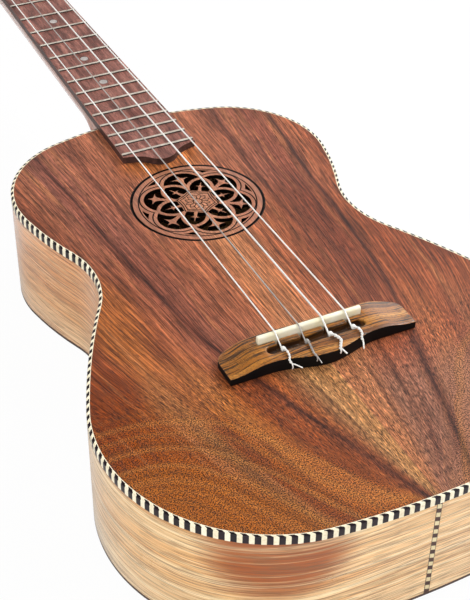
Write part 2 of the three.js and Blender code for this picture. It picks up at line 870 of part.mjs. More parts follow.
// Each fret is pressed into the board by its tang
function frets() {
  const pieces = [];
  for (let number = 1; number <= fretCount; number += 1) {
    const y = fretPlace(number);
    const crown = fretWidth / 2;
    const tang = tangWidth / 2;
    const profile = polygon([
      [-tang, -tangDepth],
      [tang, -tangDepth],
      [tang, 0],
      [crown, 0],
      [crown * crownWidthShare, fretHeight * crownHeightShare],
      [0, fretHeight],
      [-crown * crownWidthShare, fretHeight * crownHeightShare],
      [-crown, 0],
      [-tang, 0],
    ]);
    const fret = bar(profile, 2 * (boardHalfWidth(y) - fretInset));
    pieces.push(solid(fret.translate(0, y, boardTop)));
  }
  return pieces;
}

function positionDot(number) {
  return facingOut(upright(dotRadius, boardTop - dotDepth, boardTop, 16).translate(0, dotPlace(number), 0));
}

// String 4 is the lowest, on the bass side; string 1 is on the treble side
function stringSide(number, span) {
  return span * ((4 - number) / 3 - 0.5);
}

// The trough, the saddle and the strings sit a little to the bass side of the bridge's middle
function stringAtSaddle(number) {
  return bridgeRoutingAside + stringSide(number, stringSpanAtSaddle);
}

function stringRadius(number) {
  return stringDiameters[4 - number] / 2;
}

function nut() {
  const half = nutWidth / 2;
  const profile = polygon([
    [scaleLength + seatGap, topFace],
    [nutEnd, topFace],
    [nutEnd, topFace + nutHeight * nutBackShare],
    [scaleLength + nutThickness / 2, topFace + nutHeight],
    [scaleLength + seatGap, topFace + nutHeight],
  ]);
  const block = solid(bar(profile, 2 * half));
  const slots = [1, 2, 3, 4].map((number) => {
    const x = stringSide(number, stringSpanAtNut);
    const reach = stringRadius(number) + seatGap;
    const floor = topFace + nutHeight - nutSlotDepth;
    return solid(box(x - reach, x + reach, scaleLength - overrun, nutEnd + overrun, floor, floor + overrun));
  });
  return surface(cut(block, ...slots));
}

// Bridge: plan outline drawn up to full height, crossed with the wing profile, then routed
function bridgePlan() {
  const shape = new THREE.Shape();
  const straight = bridgeHalfLength - bridgeCornerLength;
  shape.moveTo(-straight, bridgeFront);
  shape.quadraticCurveTo(-bridgeHalfLength, bridgeFront, -bridgeHalfLength, bridgeFront - bridgeCornerDepth);
  shape.lineTo(-bridgeHalfLength, -bridgeBack);
  const steps = 18;
  for (let i = 0; i <= steps; i += 1) {
    const x = bridgeBulgeReach * ((2 * i) / steps - 1);
    const bulge = bridgeBulge * (0.5 + 0.5 * Math.cos((Math.PI * x) / bridgeBulgeReach));
    shape.lineTo(x, -bridgeBack - bulge);
  }
  shape.lineTo(bridgeHalfLength, -bridgeBack);
  shape.lineTo(bridgeHalfLength, bridgeFront - bridgeCornerDepth);
  shape.quadraticCurveTo(bridgeHalfLength, bridgeFront, straight, bridgeFront);
  return shape;
}

function bridgeFrontProfile() {
  const end = bridgeHalfLength + overrun;
  const middle = (bridgeWingStart + bridgeHalfLength) / 2;
  const shape = new THREE.Shape();
  shape.moveTo(-end, 0);
  shape.lineTo(end, 0);
  shape.lineTo(end, bridgeWingHeight);
  shape.lineTo(bridgeHalfLength, bridgeWingHeight);
  shape.bezierCurveTo(middle, bridgeWingHeight, middle, bridgeHeight, bridgeWingStart, bridgeHeight);
  shape.lineTo(-bridgeWingStart, bridgeHeight);
  shape.bezierCurveTo(-middle, bridgeHeight, -middle, bridgeWingHeight, -bridgeHalfLength, bridgeWingHeight);
  shape.lineTo(-end, bridgeWingHeight);
  return shape;
}

function bridge() {
  const plan = solid(slab(bridgePlan(), topFace, topFace + bridgeHeight + overrun, 6));
  const length = bridgeFront + bridgeBack + bridgeBulge + overrun;
  const profile = slab(bridgeFrontProfile(), 0, 2 * length, 8);
  profile.rotateX(Math.PI / 2).translate(0, length, topFace);
  const reach = saddleHalfLength + seatGap;
  const saddleHalf = saddleThickness / 2 + seatGap;
  const slotFloor = topFace + bridgeHeight - saddleSlotDepth;
  const slotBack = saddleAhead - saddleHalf;
  const slotFront = saddleAhead + saddleHalf;
  const middle = bridgeRoutingAside;
  const slot = box(middle - reach, middle + reach, slotBack, slotFront, slotFloor, slotFloor + overrun);
  const troughFloor = topFace + bridgeHeight - troughDepth;
  const troughShape = new THREE.Shape();
  const end = troughHalfLength - troughWidth / 2;
  troughShape.absarc(middle + end, troughFront - troughWidth / 2, troughWidth / 2, -Math.PI / 2, Math.PI / 2);
  troughShape.absarc(middle - end, troughFront - troughWidth / 2, troughWidth / 2, Math.PI / 2, (3 * Math.PI) / 2);
  const trough = slab(troughShape, troughFloor, troughFloor + overrun, 8);
  const notches = [1, 2, 3, 4].map((number) => {
    const x = stringAtSaddle(number);
    const half = notchWidth / 2;
    const back = troughFront - troughWidth / 2;
    return solid(box(x - half, x + half, back, saddleAhead, troughFloor, troughFloor + overrun));
  });
  return surface(cut(plan.intersect(solid(profile)), solid(slot), solid(trough), ...notches));
}

function saddle() {
  const half = saddleThickness / 2;
  const foot = topFace + bridgeHeight - saddleSlotDepth;
  const crown = topFace + saddleHeight;
  const shape = new THREE.Shape();
  shape.moveTo(saddleAhead - half, foot);
  shape.lineTo(saddleAhead + half, foot);
  shape.lineTo(saddleAhead + half, crown - half);
  shape.absarc(saddleAhead, crown - half, half, 0, Math.PI);
  return facingOut(bar(shape, 2 * saddleHalfLength, 5)).translate(bridgeRoutingAside, 0, 0);
}

// Strings: a tube swept along points, each ring square to the way through its point
function sweptTube(points, radius, sides) {
  const ways = points.map((point, i) => {
    const before = points[Math.max(0, i - 1)];
    const after = points[Math.min(points.length - 1, i + 1)];
    return after.clone().sub(before).normalize();
  });
  let across = new THREE.Vector3(1, 0, 0);
  across.sub(ways[0].clone().multiplyScalar(across.dot(ways[0]))).normalize();
  const rings = points.map((point, i) => {
    across = across.clone().sub(ways[i].clone().multiplyScalar(across.dot(ways[i]))).normalize();
    const up = ways[i].clone().cross(across);
    const ring = [];
    for (let k = 0; k < sides; k += 1) {
      const angle = (2 * Math.PI * k) / sides;
      ring.push(point.clone()
        .addScaledVector(across, radius * Math.cos(angle))
        .addScaledVector(up, radius * Math.sin(angle)));
    }
    return ring;
  });
  return loft(rings);
}

// The stretch from the string's free tail behind the trough, up through its notch and over the saddle
function bridgeRoute(number) {
  const radius = stringRadius(number);
  const x = stringAtSaddle(number);
  const lie = topFace + bridgeHeight + radius + seatGap;
  const edge = -bridgeBack - bridgeBulge;
  const troughMiddle = troughFront - troughWidth / 2;
  const troughRear = troughFront - troughWidth;
  const low = topFace + bridgeHeight - troughDepth + radius + 2 * seatGap;
  const sway = tailSwayShares.map((share) => x + tailSway * share);
  const points = [
    [sway[0], -tailReach, lie - bridgeHeight * tailDropShare],
    [sway[1], edge - radius, lie - radius],
    [sway[2], (edge + troughRear) / 2, lie],
    [sway[3], troughRear - 2 * radius, lie],
    [sway[4], troughRear + radius, lie + radius],
    [x, troughMiddle, low + 2 * radius],
    [x, troughFront, low],
  ];
  const crownRadius = saddleThickness / 2 + radius + seatGap;
  const crownHeight = topFace + saddleHeight - saddleThickness / 2;
  const rise = Math.atan2(crownHeight + crownRadius * crownRiseShare - low, saddleAhead - troughFront);
  const steps = 4;
  for (let i = 0; i <= steps; i += 1) {
    const angle = Math.PI / 2 + rise * (1 - i / steps);
    const ahead = saddleAhead + crownRadius * Math.cos(angle);
    points.push([x, ahead, crownHeight + crownRadius * Math.sin(angle)]);
  }
  return points.map(([px, py, pz]) => new THREE.Vector3(px, py, pz));
}

// The stretch over the nut to its post, wound round it and through its hole, in the headstock's frame
function postRoute(number) {
  const { side, place } = tuners.find((tuner) => tuner.number === number);
  const radius = stringRadius(number);
  const windingRadius = postWaistRadius + radius + seatGap;
  const centreX = side * postSide;
  const nutX = stringSide(number, stringSpanAtNut);
  const reachX = nutX - centreX;
  const span = Math.hypot(reachX, place);
  const toNut = Math.atan2(-place, reachX * -side);
  const start = toNut + Math.acos(windingRadius / span);
  const base = veneerTop + windingStart;
  const turnTotal = 2 * Math.PI * windingTurns;
  const holeAngle = start + turnTotal;
  const steps = windingTurns * windingSteps;
  const points = [];
  const at = (r, angle, height) => {
    const x = centreX - side * r * Math.cos(angle);
    const y = place + r * Math.sin(angle);
    points.push(new THREE.Vector3(x, y, height));
  };
  const lead = Math.asin(Math.min(1, windingBend / windingRadius));
  for (let i = 0; i <= steps; i += 1) {
    const angle = start + ((turnTotal - lead) * i) / steps;
    const turns = (angle - start) / (2 * Math.PI);
    const lift = Math.max(0, (turns - windingTurns + 1) * windingLift);
    at(windingRadius, angle, base + windingPitch * turns + lift);
  }
  const top = points[points.length - 1].z;
  const inward = new THREE.Vector2(Math.cos(holeAngle), Math.sin(holeAngle));
  const along = new THREE.Vector2(-inward.y, inward.x);
  const corner = (out, back) => {
    const x = inward.x * out - along.x * back;
    const y = inward.y * out - along.y * back;
    points.push(new THREE.Vector3(centreX - side * x, place + y, top));
  };
  const cornerSteps = 4;
  for (let i = 1; i <= cornerSteps; i += 1) {
    const angle = (i / cornerSteps) * (Math.PI / 2);
    corner(windingRadius - windingBend * (1 - Math.cos(angle)), windingBend * (1 - Math.sin(angle)));
  }
  corner(-postWaistRadius - tailPastPost, 0);
  return points;
}

function stringRoute(number) {
  const radius = stringRadius(number);
  const nutX = stringSide(number, stringSpanAtNut);
  const nutFloor = topFace + nutHeight - nutSlotDepth + radius + seatGap;
  const overNut = [
    new THREE.Vector3(nutX, scaleLength, nutFloor),
    new THREE.Vector3(nutX, scaleLength + nutThickness / 2, nutFloor),
  ];
  const winding = postRoute(number).map((point) => point.applyMatrix4(headFrame));
  return { winding, points: [...bridgeRoute(number), ...overNut, ...winding] };
}

// Least free space between turns of a winding: points more than half a turn apart, less one diameter
function leastGap(points, diameter) {
  let least = Infinity;
  for (let i = 0; i < points.length; i += 1) {
    for (let j = i + windingSteps / 2; j < points.length; j += 1) {
      least = Math.min(least, points[i].distanceTo(points[j]) - diameter);
    }
  }
  return least;
}

function string(number) {
  const radius = stringRadius(number);
  const { winding, points } = stringRoute(number);
  console.log(`string ${number}: least gap in its winding ${leastGap(winding, 2 * radius).toFixed(2)} mm`);
  const tube = solid(sweptTube(points, radius, stringSides));
  const x = stringAtSaddle(number);
  const place = points[5];
  const knot = new THREE.SphereGeometry(knotRadius, 8, 6);
  knot.translate(x, troughFront - knotRadius - seatGap, place.z);
  return surface(joined(tube, solid(knot)));
}

// Tuners, each drawn round its post axis with the button to the treble side, mirrored for the bass side
function tunerPiece(tuner, geometry) {
  const placed = geometry.scale(tuner.side, 1, 1).translate(tuner.side * postSide, tuner.place, 0);
  return facingOut(inHeadFrame(placed));
}

const shaftHeight = housingTop - housingThickness / 2;

function tunerHousing() {
  const shape = new THREE.Shape();
  shape.moveTo(-housingInner + housingCorner, -housingNear);
  shape.lineTo(housingOuter - housingCorner, -housingNear);
  shape.quadraticCurveTo(housingOuter, -housingNear, housingOuter, housingCorner - housingNear);
  shape.lineTo(housingOuter, housingFar - housingCorner);
  shape.quadraticCurveTo(housingOuter, housingFar, housingOuter - housingCorner, housingFar);
  shape.lineTo(housingCorner - housingInner, housingFar);
  shape.quadraticCurveTo(-housingInner, housingFar, -housingInner, housingFar - housingCorner);
  shape.lineTo(-housingInner, housingCorner - housingNear);
  shape.quadraticCurveTo(-housingInner, -housingNear, housingCorner - housingInner, -housingNear);
  const bevel = housingCorner / 2;
  const shell = new THREE.ExtrudeGeometry(shape, {
    depth: housingThickness - bevel,
    bevelEnabled: true,
    bevelThickness: bevel,
    bevelSize: bevel,
    bevelOffset: -bevel,
    bevelSegments: 1,
    curveSegments: 3,
  });
  shell.translate(0, 0, housingTop - housingThickness + bevel);
  const top = box(-overrun, overrun, -overrun, overrun, housingTop, housingTop + overrun);
  const lugRadius = lugWidth / 2;
  const lugShape = new THREE.Shape();
  lugShape.absarc(0, lugScrewPlace, lugRadius, Math.PI, 2 * Math.PI);
  lugShape.lineTo(lugRadius, 0);
  lugShape.lineTo(-lugRadius, 0);
  const lug = slab(lugShape, housingTop - lugThickness, housingTop, 6);
  const boss = alongX(bossRadius, 0, housingOuter + bossLength, 14).translate(0, wormOffset, shaftHeight);
  const postBore = upright(postRadius + seatGap, housingTop - postBoreDepth, housingTop + overrun, 14);
  const boreEnd = housingOuter + bossLength - wormBoreDepth;
  const wormBore = alongX(shaftRadius + seatGap, boreEnd, housingOuter + overrun, 12);
  wormBore.translate(0, wormOffset, shaftHeight);
  const casting = joined(solid(shell), solid(lug), solid(boss));
  const bored = cut(casting, solid(top), solid(postBore), solid(wormBore));
  return surface(joined(bored, housingScrew()));
}

function stringPost() {
  const foot = housingTop - postBoreDepth + seatGap;
  const top = veneerTop + postHeight;
  const capStart = top - postCapHeight;
  const waistStart = veneerTop + windingStart - windingPitch;
  const profile = [
    [0, foot],
    [postRadius, foot],
    [postRadius, waistStart],
    [postWaistRadius, waistStart + postRadius - postWaistRadius],
    [postWaistRadius, capStart],
    [postRadius, capStart + postRadius - postWaistRadius],
    [postRadius, top - postRadius * (1 - postTipShare)],
    [postRadius * postTipShare, top],
    [0, top],
  ].map(([r, z]) => new THREE.Vector2(r, z));
  return new THREE.LatheGeometry(profile, 14).rotateX(Math.PI / 2);
}

// The string hole is drilled square to the post where the winding ends
function drilledPost(tuner) {
  const points = postRoute(tuner.number);
  const inner = points[points.length - 2];
  const outer = points[points.length - 1];
  const middle = new THREE.Vector3(tuner.side * postSide, tuner.place, inner.z);
  const way = outer.clone().sub(inner).normalize();
  const drill = new THREE.CylinderGeometry(postHoleRadius, postHoleRadius, 4 * postRadius, 8);
  drill.applyQuaternion(new THREE.Quaternion().setFromUnitVectors(new THREE.Vector3(0, 1, 0), way));
  drill.translate(middle.x, middle.y, middle.z);
  const post = stringPost().translate(tuner.side * postSide, tuner.place, 0);
  return facingOut(inHeadFrame(surface(cut(solid(post), solid(drill)))));
}

function bushing() {
  const washerBottom = veneerTop + seatGap;
  const washerTop = washerBottom + washerThickness;
  const nutRadius = bushingNutWidth / Math.sqrt(3);
  const hexagon = upright(nutRadius, washerTop - washerThickness / 2, washerTop + bushingNutHeight, 6);
  const washer = upright(washerRadius, washerBottom, washerTop, 18);
  const sleeve = upright(bushingSleeveRadius, -bushingDepth, washerTop, 14);
  const bore = upright(postRadius + seatGap, -overrun - bushingDepth, overrun, 14);
  return surface(cut(joined(solid(hexagon), solid(washer), solid(sleeve)), solid(bore)));
}

const shaftInnerEnd = housingOuter + bossLength - wormBoreDepth + seatGap;

function buttonShaft() {
  const shaftEnd = buttonStart + shaftInButton;
  const shaft = alongX(shaftRadius, shaftInnerEnd, shaftEnd, 12);
  const collarEnd = buttonStart - seatGap;
  const collar = alongX((shaftRadius + bossRadius) / 2, housingOuter + bossLength + seatGap, collarEnd, 12);
  const hole = alongX(screwRadius + seatGap, shaftEnd - buttonScrewLength, shaftEnd + overrun, 8);
  const whole = surface(cut(joined(solid(shaft), solid(collar)), solid(hole)));
  return whole.translate(0, wormOffset, shaftHeight);
}

function button() {
  const half = buttonHeight / 2;
  const neckHalf = buttonNeck / 2 + buttonBevel;
  const shape = new THREE.Shape();
  shape.moveTo(0, -neckHalf);
  const [start, swell, shoulder] = buttonLengthShares.map((share) => buttonLength * share);
  const [tip, side] = buttonWidthShares.map((share) => half * share);
  shape.bezierCurveTo(start, -half, swell, -half, shoulder, -side);
  shape.quadraticCurveTo(buttonLength, -tip, buttonLength, 0);
  shape.quadraticCurveTo(buttonLength, tip, shoulder, side);
  shape.bezierCurveTo(swell, half, start, half, 0, neckHalf);
  const knob = new THREE.ExtrudeGeometry(shape, {
    depth: buttonThickness - 2 * buttonBevel,
    bevelEnabled: true,
    bevelThickness: buttonBevel,
    bevelSize: buttonBevel,
    bevelOffset: -buttonBevel,
    bevelSegments: 1,
    curveSegments: 4,
  });
  knob.translate(buttonStart, 0, buttonBevel - buttonThickness / 2).rotateX(Math.PI / 2);
  const boreEnd = buttonStart + shaftInButton + seatGap;
  const bore = alongX(shaftRadius + seatGap, buttonStart - overrun, boreEnd, 12);
  const whole = joined(cut(solid(knob), solid(bore)), buttonScrew());
  return surface(whole).translate(0, wormOffset, shaftHeight);
}

// The screw that holds a button on its shaft, and the one that holds a housing to the headstock
function buttonScrew() {
  const headStart = buttonStart + buttonLength - seatGap;
  const head = alongX(screwHeadRadius, headStart, headStart + screwHeadHeight, 10);
  const shank = alongX(screwRadius, buttonStart + shaftInButton - buttonScrewLength + seatGap, headStart, 8);
  return joined(solid(head), solid(shank));
}

function housingScrew() {
  const headTop = housingTop - lugThickness;
  const head = upright(screwHeadRadius, headTop - screwHeadHeight, headTop, 10);
  const shank = upright(screwRadius, headTop - screwHeadHeight / 2, headTop + housingScrewLength, 8);
  return joined(solid(head), solid(shank)).translate([0, lugScrewPlace, 0]);
}

// The whole instrument
const ukulele = new THREE.Group();

function add(name, geometry, material) {
  const mesh = new THREE.Mesh(geometry, material);
  mesh.name = name;
  ukulele.add(mesh);
}

add('soundboard', soundboard(), topWood);
add('rosette', rosette(), rosetteWood);
add('back', backPlate(), edgeWood);
add('side_bass', bodySide(-1), sideWood);
add('side_treble', bodySide(1), sideWood);
add('end_graft', endGraft(), ropeInlay);
add('rope_binding', ropeBinding(), ropeInlay);
add('lining_top_bass', lining(plateUnderside, -1, -1), spruce);
add('lining_top_treble', lining(plateUnderside, -1, 1), spruce);
add('lining_back_bass', lining(plateThickness, 1, -1), spruce);
add('lining_back_treble', lining(plateThickness, 1, 1), spruce);
add('neck_block', endBlock(neckBlockWidth, neckBlockLength, false), blockWood);
add('tail_block', endBlock(tailBlockWidth, tailBlockLength, true), blockWood);
add('soundhole_ring', soundholeRing(), spruce);
add('bridge_plate', facingOut(bridgePlateBox(0)), spruce);
add('upper_brace', crossBrace(upperBraceAhead, braceHeight, plateUnderside, -1), spruce);
add('lower_brace', crossBrace(lowerBraceAhead, braceHeight, plateUnderside, -1), spruce);
add('fan_brace_bass', fanBrace(-1), spruce);
add('fan_brace_centre', fanBrace(0), spruce);
add('fan_brace_treble', fanBrace(1), spruce);
add('back_brace_upper', crossBrace(upperBackBraceAhead, backBraceHeight, plateThickness, 1), spruce);
add('back_brace_waist', crossBrace(waistBackBraceAhead, backBraceHeight, plateThickness, 1), spruce);
add('back_brace_lower', crossBrace(lowerBackBraceAhead, backBraceHeight, plateThickness, 1), spruce);
add('neck', neck(), neckWood);
add('heel_cap', heelCap(), edgeWood);
add('head_veneer', headVeneer(), boardWood);
add('fretboard', fretboard(), boardWood);
for (const number of dotFrets) {
  add(`position_dot_${number}`, positionDot(number), pearl);
}
add('nut', nut(), bone);
add('bridge', bridge(), bridgeWood);
add('saddle', saddle(), bone);
for (const number of [1, 2, 3, 4]) {
  add(`string_${number}`, string(number), nylon);
}
for (const tuner of tuners) {
  add(`tuner_housing_${tuner.number}`, tunerPiece(tuner, tunerHousing()), tunerMetal);
  add(`tuner_post_${tuner.number}`, drilledPost(tuner), tunerMetal);
  add(`tuner_bushing_${tuner.number}`, tunerPiece(tuner, bushing()), tunerMetal);
  add(`tuner_shaft_${tuner.number}`, tunerPiece(tuner, buttonShaft()), tunerMetal);
  add(`tuner_button_${tuner.number}`, tunerPiece(tuner, button()), buttonPlastic);
}

export default ukulele;
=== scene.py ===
import json
import math

import bpy
from mathutils import Matrix, Vector


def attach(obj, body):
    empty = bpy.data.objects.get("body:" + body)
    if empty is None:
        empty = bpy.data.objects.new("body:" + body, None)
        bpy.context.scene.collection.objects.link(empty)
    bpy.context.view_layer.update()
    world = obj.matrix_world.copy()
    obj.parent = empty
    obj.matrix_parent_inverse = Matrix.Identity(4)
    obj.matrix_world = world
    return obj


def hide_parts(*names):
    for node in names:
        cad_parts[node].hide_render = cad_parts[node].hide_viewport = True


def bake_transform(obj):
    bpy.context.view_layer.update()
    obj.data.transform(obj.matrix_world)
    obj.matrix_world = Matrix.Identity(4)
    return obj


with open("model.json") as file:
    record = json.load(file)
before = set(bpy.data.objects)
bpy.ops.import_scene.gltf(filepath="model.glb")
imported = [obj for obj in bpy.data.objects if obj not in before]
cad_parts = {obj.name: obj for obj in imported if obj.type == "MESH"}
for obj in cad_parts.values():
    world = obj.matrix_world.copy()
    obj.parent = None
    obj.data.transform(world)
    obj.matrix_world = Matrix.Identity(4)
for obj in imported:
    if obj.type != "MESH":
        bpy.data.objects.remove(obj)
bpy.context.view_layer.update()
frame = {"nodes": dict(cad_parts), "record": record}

# Sizes are in millimetres and turned into metres where they are used. Angles are in degrees.
MM = 0.001

# Body outline: tangent arcs down the treble side as radius, turn and bend
body_end = 221.1
body_depth = 63.5
outline_bends = (
    (180, 16.2, 1),
    (57, 84.3, 1),
    (187, 12.1, 1),
    (52, 53.3, -1),
    (408, 10.4, 1),
    (80.8, 104.1, 1),
)
outline_step_turn = 2.5
outline_step_length = 8
plate_thickness = 2.2
side_thickness = 2
binding_height = 4.3
binding_thickness = 1.4
purfling_width = 0.3
graft_width = 2.8
back_edge_round = 0.8
binding_round = 0.7
graft_round = 0.12
skin_inset = 0.03

# Inlaid blocks. The rope's run goes on past the tail, with shorter blocks on the treble side.
rope_pitch = 4.96
rope_dark_share = 0.54
rope_slant = 1.3
rope_joint = 0.22
rope_treble_share = -1.07
graft_pitch = 5.17
graft_dark_share = 0.5
graft_slant_share = 0.35
graft_start = 60
graft_joint = 0.2

# Soundhole, bridge and fretboard
rosette_ahead = 126.4
soundhole_radius = 36.2
soundhole_corners = 120
board_top = 67.5
fret_foot_rise = 0.02
bridge_height = 7
bridge_back = 15
bridge_bulge = 5.4
bridge_side_reach = 48.4
bridge_back_inset = 0.6
saddle_thickness = 2.8
saddle_ahead = 0.2
saddle_height = 10.6
routing_aside = -1
trough_front = -4.6
trough_width = 5.5
trough_depth = 4
trough_half_length = 27
trough_half_reach = 5.6
trough_shade_soft = 0.6

# Strings from the trough to the nut
scale_length = 510
string_diameters = (0.8, 0.95, 0.65, 0.7)
span_at_nut = 30
span_at_saddle = 37.2
nut_thickness = 5
nut_floor = 68.4
seat_gap = 0.3
saddle_gap = 0.06
string_start_ahead = 1.6
string_start_rise = 3.1
crown_aim_share = 0.7
crown_steps = 6

# Headstock frame and the winding of a string on its post
head_angle = 11
head_face = 61.4
post_side = 17.5
post_places = (48, 100, 100, 48)
post_waist = 2.7
winding_base = 7.1
winding_turns = 2.5
winding_pitch = 1.45
winding_lift = 1.3
winding_bend = 1.1
winding_steps = 60
bend_steps = 4
end_past_post = 2

# Knots and tails, string by string: how far each point of the tail lies aside, and where its loose
# end goes. The strands of a tail are thinner than the string.
tail_sways = (
    (0.2, 1.3, 1.2, -0.6, -1.0),
    (0.2, 1.0, 2.2, 0.6, -0.8),
    (0.1, -0.1, -0.6, -1.2, -0.8),
    (0.1, 0.5, 0.1, -1.4, -1.2),
)
tail_tips = ((-1.6, -3.6), (1.8, -3.4), (0.6, -4.0), (3.8, -3.2))
strand_share = 0.84
twist_share = 0.86
twist_pitch = 3.6
knot_radius = 0.95
knot_depth = 0.9
knot_steps = 28
knot_steps_per_turn = 11
knot_step_length = 0.065

# Limits for joining, rounding and telling faces apart
touch = 0.01
sharp_angle = 35
flat_angle = 0.5
steep_share = 0.5
flat_share = 0.9


# Selecting and shaping
def select_nothing():
    bpy.ops.object.select_all(action="DESELECT")


def take(*pieces):
    select_nothing()
    for piece in pieces:
        piece.select_set(True)
    bpy.context.view_layer.objects.active = pieces[0]


def select_mesh():
    bpy.ops.mesh.select_all(action="SELECT")


def edit(piece, mode="VERT"):
    take(piece)
    bpy.ops.object.mode_set(mode="EDIT")
    bpy.ops.mesh.select_mode(type=mode)


def done():
    bpy.ops.object.mode_set(mode="OBJECT")


def bevel_edges(piece, wanted, width):
    """Rounds the edges whose two ends are wanted."""
    edit(piece, "EDGE")
    done()
    for part in (piece.data.vertices, piece.data.edges, piece.data.polygons):
        part.foreach_set("select", [False] * len(part))
    for edge in piece.data.edges:
        edge.select = all(wanted(piece.data.vertices[i].co) for i in edge.vertices)
    bpy.ops.object.mode_set(mode="EDIT")
    bpy.ops.mesh.bevel(offset=width * MM, segments=4, affect="EDGES")
    done()


def close_mesh(piece):
    edit(piece)
    select_mesh()
    bpy.ops.mesh.remove_doubles(threshold=touch * MM)
    bpy.ops.mesh.normals_make_consistent(inside=False)
    done()


def apply_modifier(piece, kind, **settings):
    take(piece)
    modifier = piece.modifiers.new(kind.lower(), kind)
    for name, value in settings.items():
        setattr(modifier, name, value)
    bpy.ops.object.modifier_apply(modifier=modifier.name)


def round_edges(piece, width, segments=2):
    apply_modifier(
        piece, "BEVEL", width=width * MM, segments=segments, limit_method="ANGLE",
        angle_limit=math.radians(sharp_angle), use_clamp_overlap=True, miter_outer="MITER_ARC",
    )


def apply_place(piece):
    take(piece)
    bpy.ops.object.transform_apply(location=True, rotation=True, scale=True)


def settle(piece, name, smooth=sharp_angle):
    apply_place(piece)
    bpy.ops.object.shade_smooth_by_angle(angle=math.radians(smooth))
    piece.name = name
    piece.data.name = name


body_of = {
    node: body for body, nodes in frame["record"]["behaviour"]["bodies"].items() for node in nodes
}


def fit(piece, node, slot, *materials):
    for material in materials:
        piece.data.materials.append(material)
    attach(piece, body_of[node])
    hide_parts(node)


def copy_of_node(node):
    source = frame["nodes"][node]
    piece = bpy.data.objects.new(node + "_finished", source.data.copy())
    bpy.context.scene.collection.objects.link(piece)
    piece.data.materials.clear()
    close_mesh(piece)
    edit(piece)
    select_mesh()
    bpy.ops.mesh.dissolve_limited(angle_limit=math.radians(flat_angle))
    done()
    return piece


# Wiring of materials
def colour(code):
    """A hexadecimal colour as the linear light that a socket takes."""
    parts = [int(code[i:i + 2], 16) / 255 for i in (0, 2, 4)]
    return (*(p / 12.92 if p <= 0.04045 else ((p + 0.055) / 1.055) ** 2.4 for p in parts), 1)


class Signal:
    """An output of a node. Reckoning with it adds the math nodes."""

    def __init__(self, wires, socket):
        self.wires = wires
        self.socket = socket

    def __add__(self, other):
        return self.wires.math("ADD", self, other)

    def __radd__(self, other):
        return self.wires.math("ADD", other, self)

    def __sub__(self, other):
        return self.wires.math("SUBTRACT", self, other)

    def __rsub__(self, other):
        return self.wires.math("SUBTRACT", other, self)

    def __mul__(self, other):
        return self.wires.math("MULTIPLY", self, other)

    def __truediv__(self, other):
        return self.wires.math("DIVIDE", self, other)

    def __rtruediv__(self, other):
        return self.wires.math("DIVIDE", other, self)

    def __pow__(self, power):
        return self.wires.math("POWER", self, power)

    def __abs__(self):
        return self.wires.math("ABSOLUTE", self)

    def mask(self, low, high, start=0, end=1):
        """A soft step from start, where the signal is at low, to end, where it is at high."""
        feeds = {"Value": self, "From Min": low, "From Max": high, "To Min": start, "To Max": end}
        return self.wires.put(0, "MapRange", feeds, interpolation_type="SMOOTHSTEP")


class Wiring:
    """A node tree with short calls that add a node and hand back its signal."""

    def __init__(self, tree):
        self.tree = tree

    def feed(self, socket, value):
        if isinstance(value, Signal):
            self.tree.links.new(value.socket, socket)
        else:
            socket.default_value = colour(value) if isinstance(value, str) else value

    def add(self, kind, feeds=(), **settings):
        node = self.tree.nodes.new("ShaderNode" + kind)
        for name, value in settings.items():
            setattr(node, name, value)
        for name, value in dict(feeds).items():
            self.feed(node.inputs[name], value)
        return node

    def put(self, output, kind, feeds=(), **settings):
        return Signal(self, self.add(kind, feeds, **settings).outputs[output])

    def signals(self, node):
        return {socket.name: Signal(self, socket) for socket in node.outputs}

    def math(self, operation, *values, clamp=False):
        return self.put(0, "Math", dict(enumerate(values)), operation=operation, use_clamp=clamp)

    def most(self, first, second):
        return self.math("MAXIMUM", first, second)

    def length(self, across, along):
        return self.math("SQRT", across ** 2 + along ** 2)

    def blend(self, share, first, second, way="MIX"):
        feeds = {0: share, 6: first, 7: second}
        return self.put(2, "Mix", feeds, data_type="RGBA", blend_type=way)

    def shade(self, base, level):
        """The colour, darker where the level is under 1 and lighter where it is over 1."""
        return self.blend(1, base, self.join(level, level, level), "MULTIPLY")

    def ramp(self, value, stops):
        node = self.add("ValToRGB", {"Fac": value})
        elements = node.color_ramp.elements
        while len(elements) < len(stops):
            elements.new(0.5)
        for element, (place, code) in zip(elements, stops):
            element.position = place
            element.color = colour(code)
        return Signal(self, node.outputs["Color"])

    def noise(self, vector, scale=1, detail=2, rough=0.5, warp=0):
        feeds = {"Vector": vector, "Scale": scale, "Detail": detail, "Roughness": rough, "Distortion": warp}
        return self.put(0, "TexNoise", feeds)

    def split(self, vector):
        return self.signals(self.add("SeparateXYZ", {"Vector": vector})).values()

    def join(self, x, y, z=0):
        return self.put(0, "CombineXYZ", {"X": x, "Y": y, "Z": z})

    def place(self, turn=(0, 0, 0)):
        """Object coordinates in millimetres, turned so that the grain runs along the second axis."""
        feeds = {
            "Vector": self.put("Object", "TexCoord"),
            "Rotation": [math.radians(angle) for angle in turn],
            "Scale": (1 / MM, 1 / MM, 1 / MM),
        }
        return self.put(0, "Mapping", feeds, vector_type="POINT")

    def bump(self, height, depth):
        return self.put(0, "Bump", {"Height": height, "Distance": depth * MM, "Strength": 1})

    def group(self, tree, **feeds):
        node = self.add("Group", node_tree=tree)
        for name, value in feeds.items():
            self.feed(node.inputs[name.replace("_", " ")], value)
        return self.signals(node)


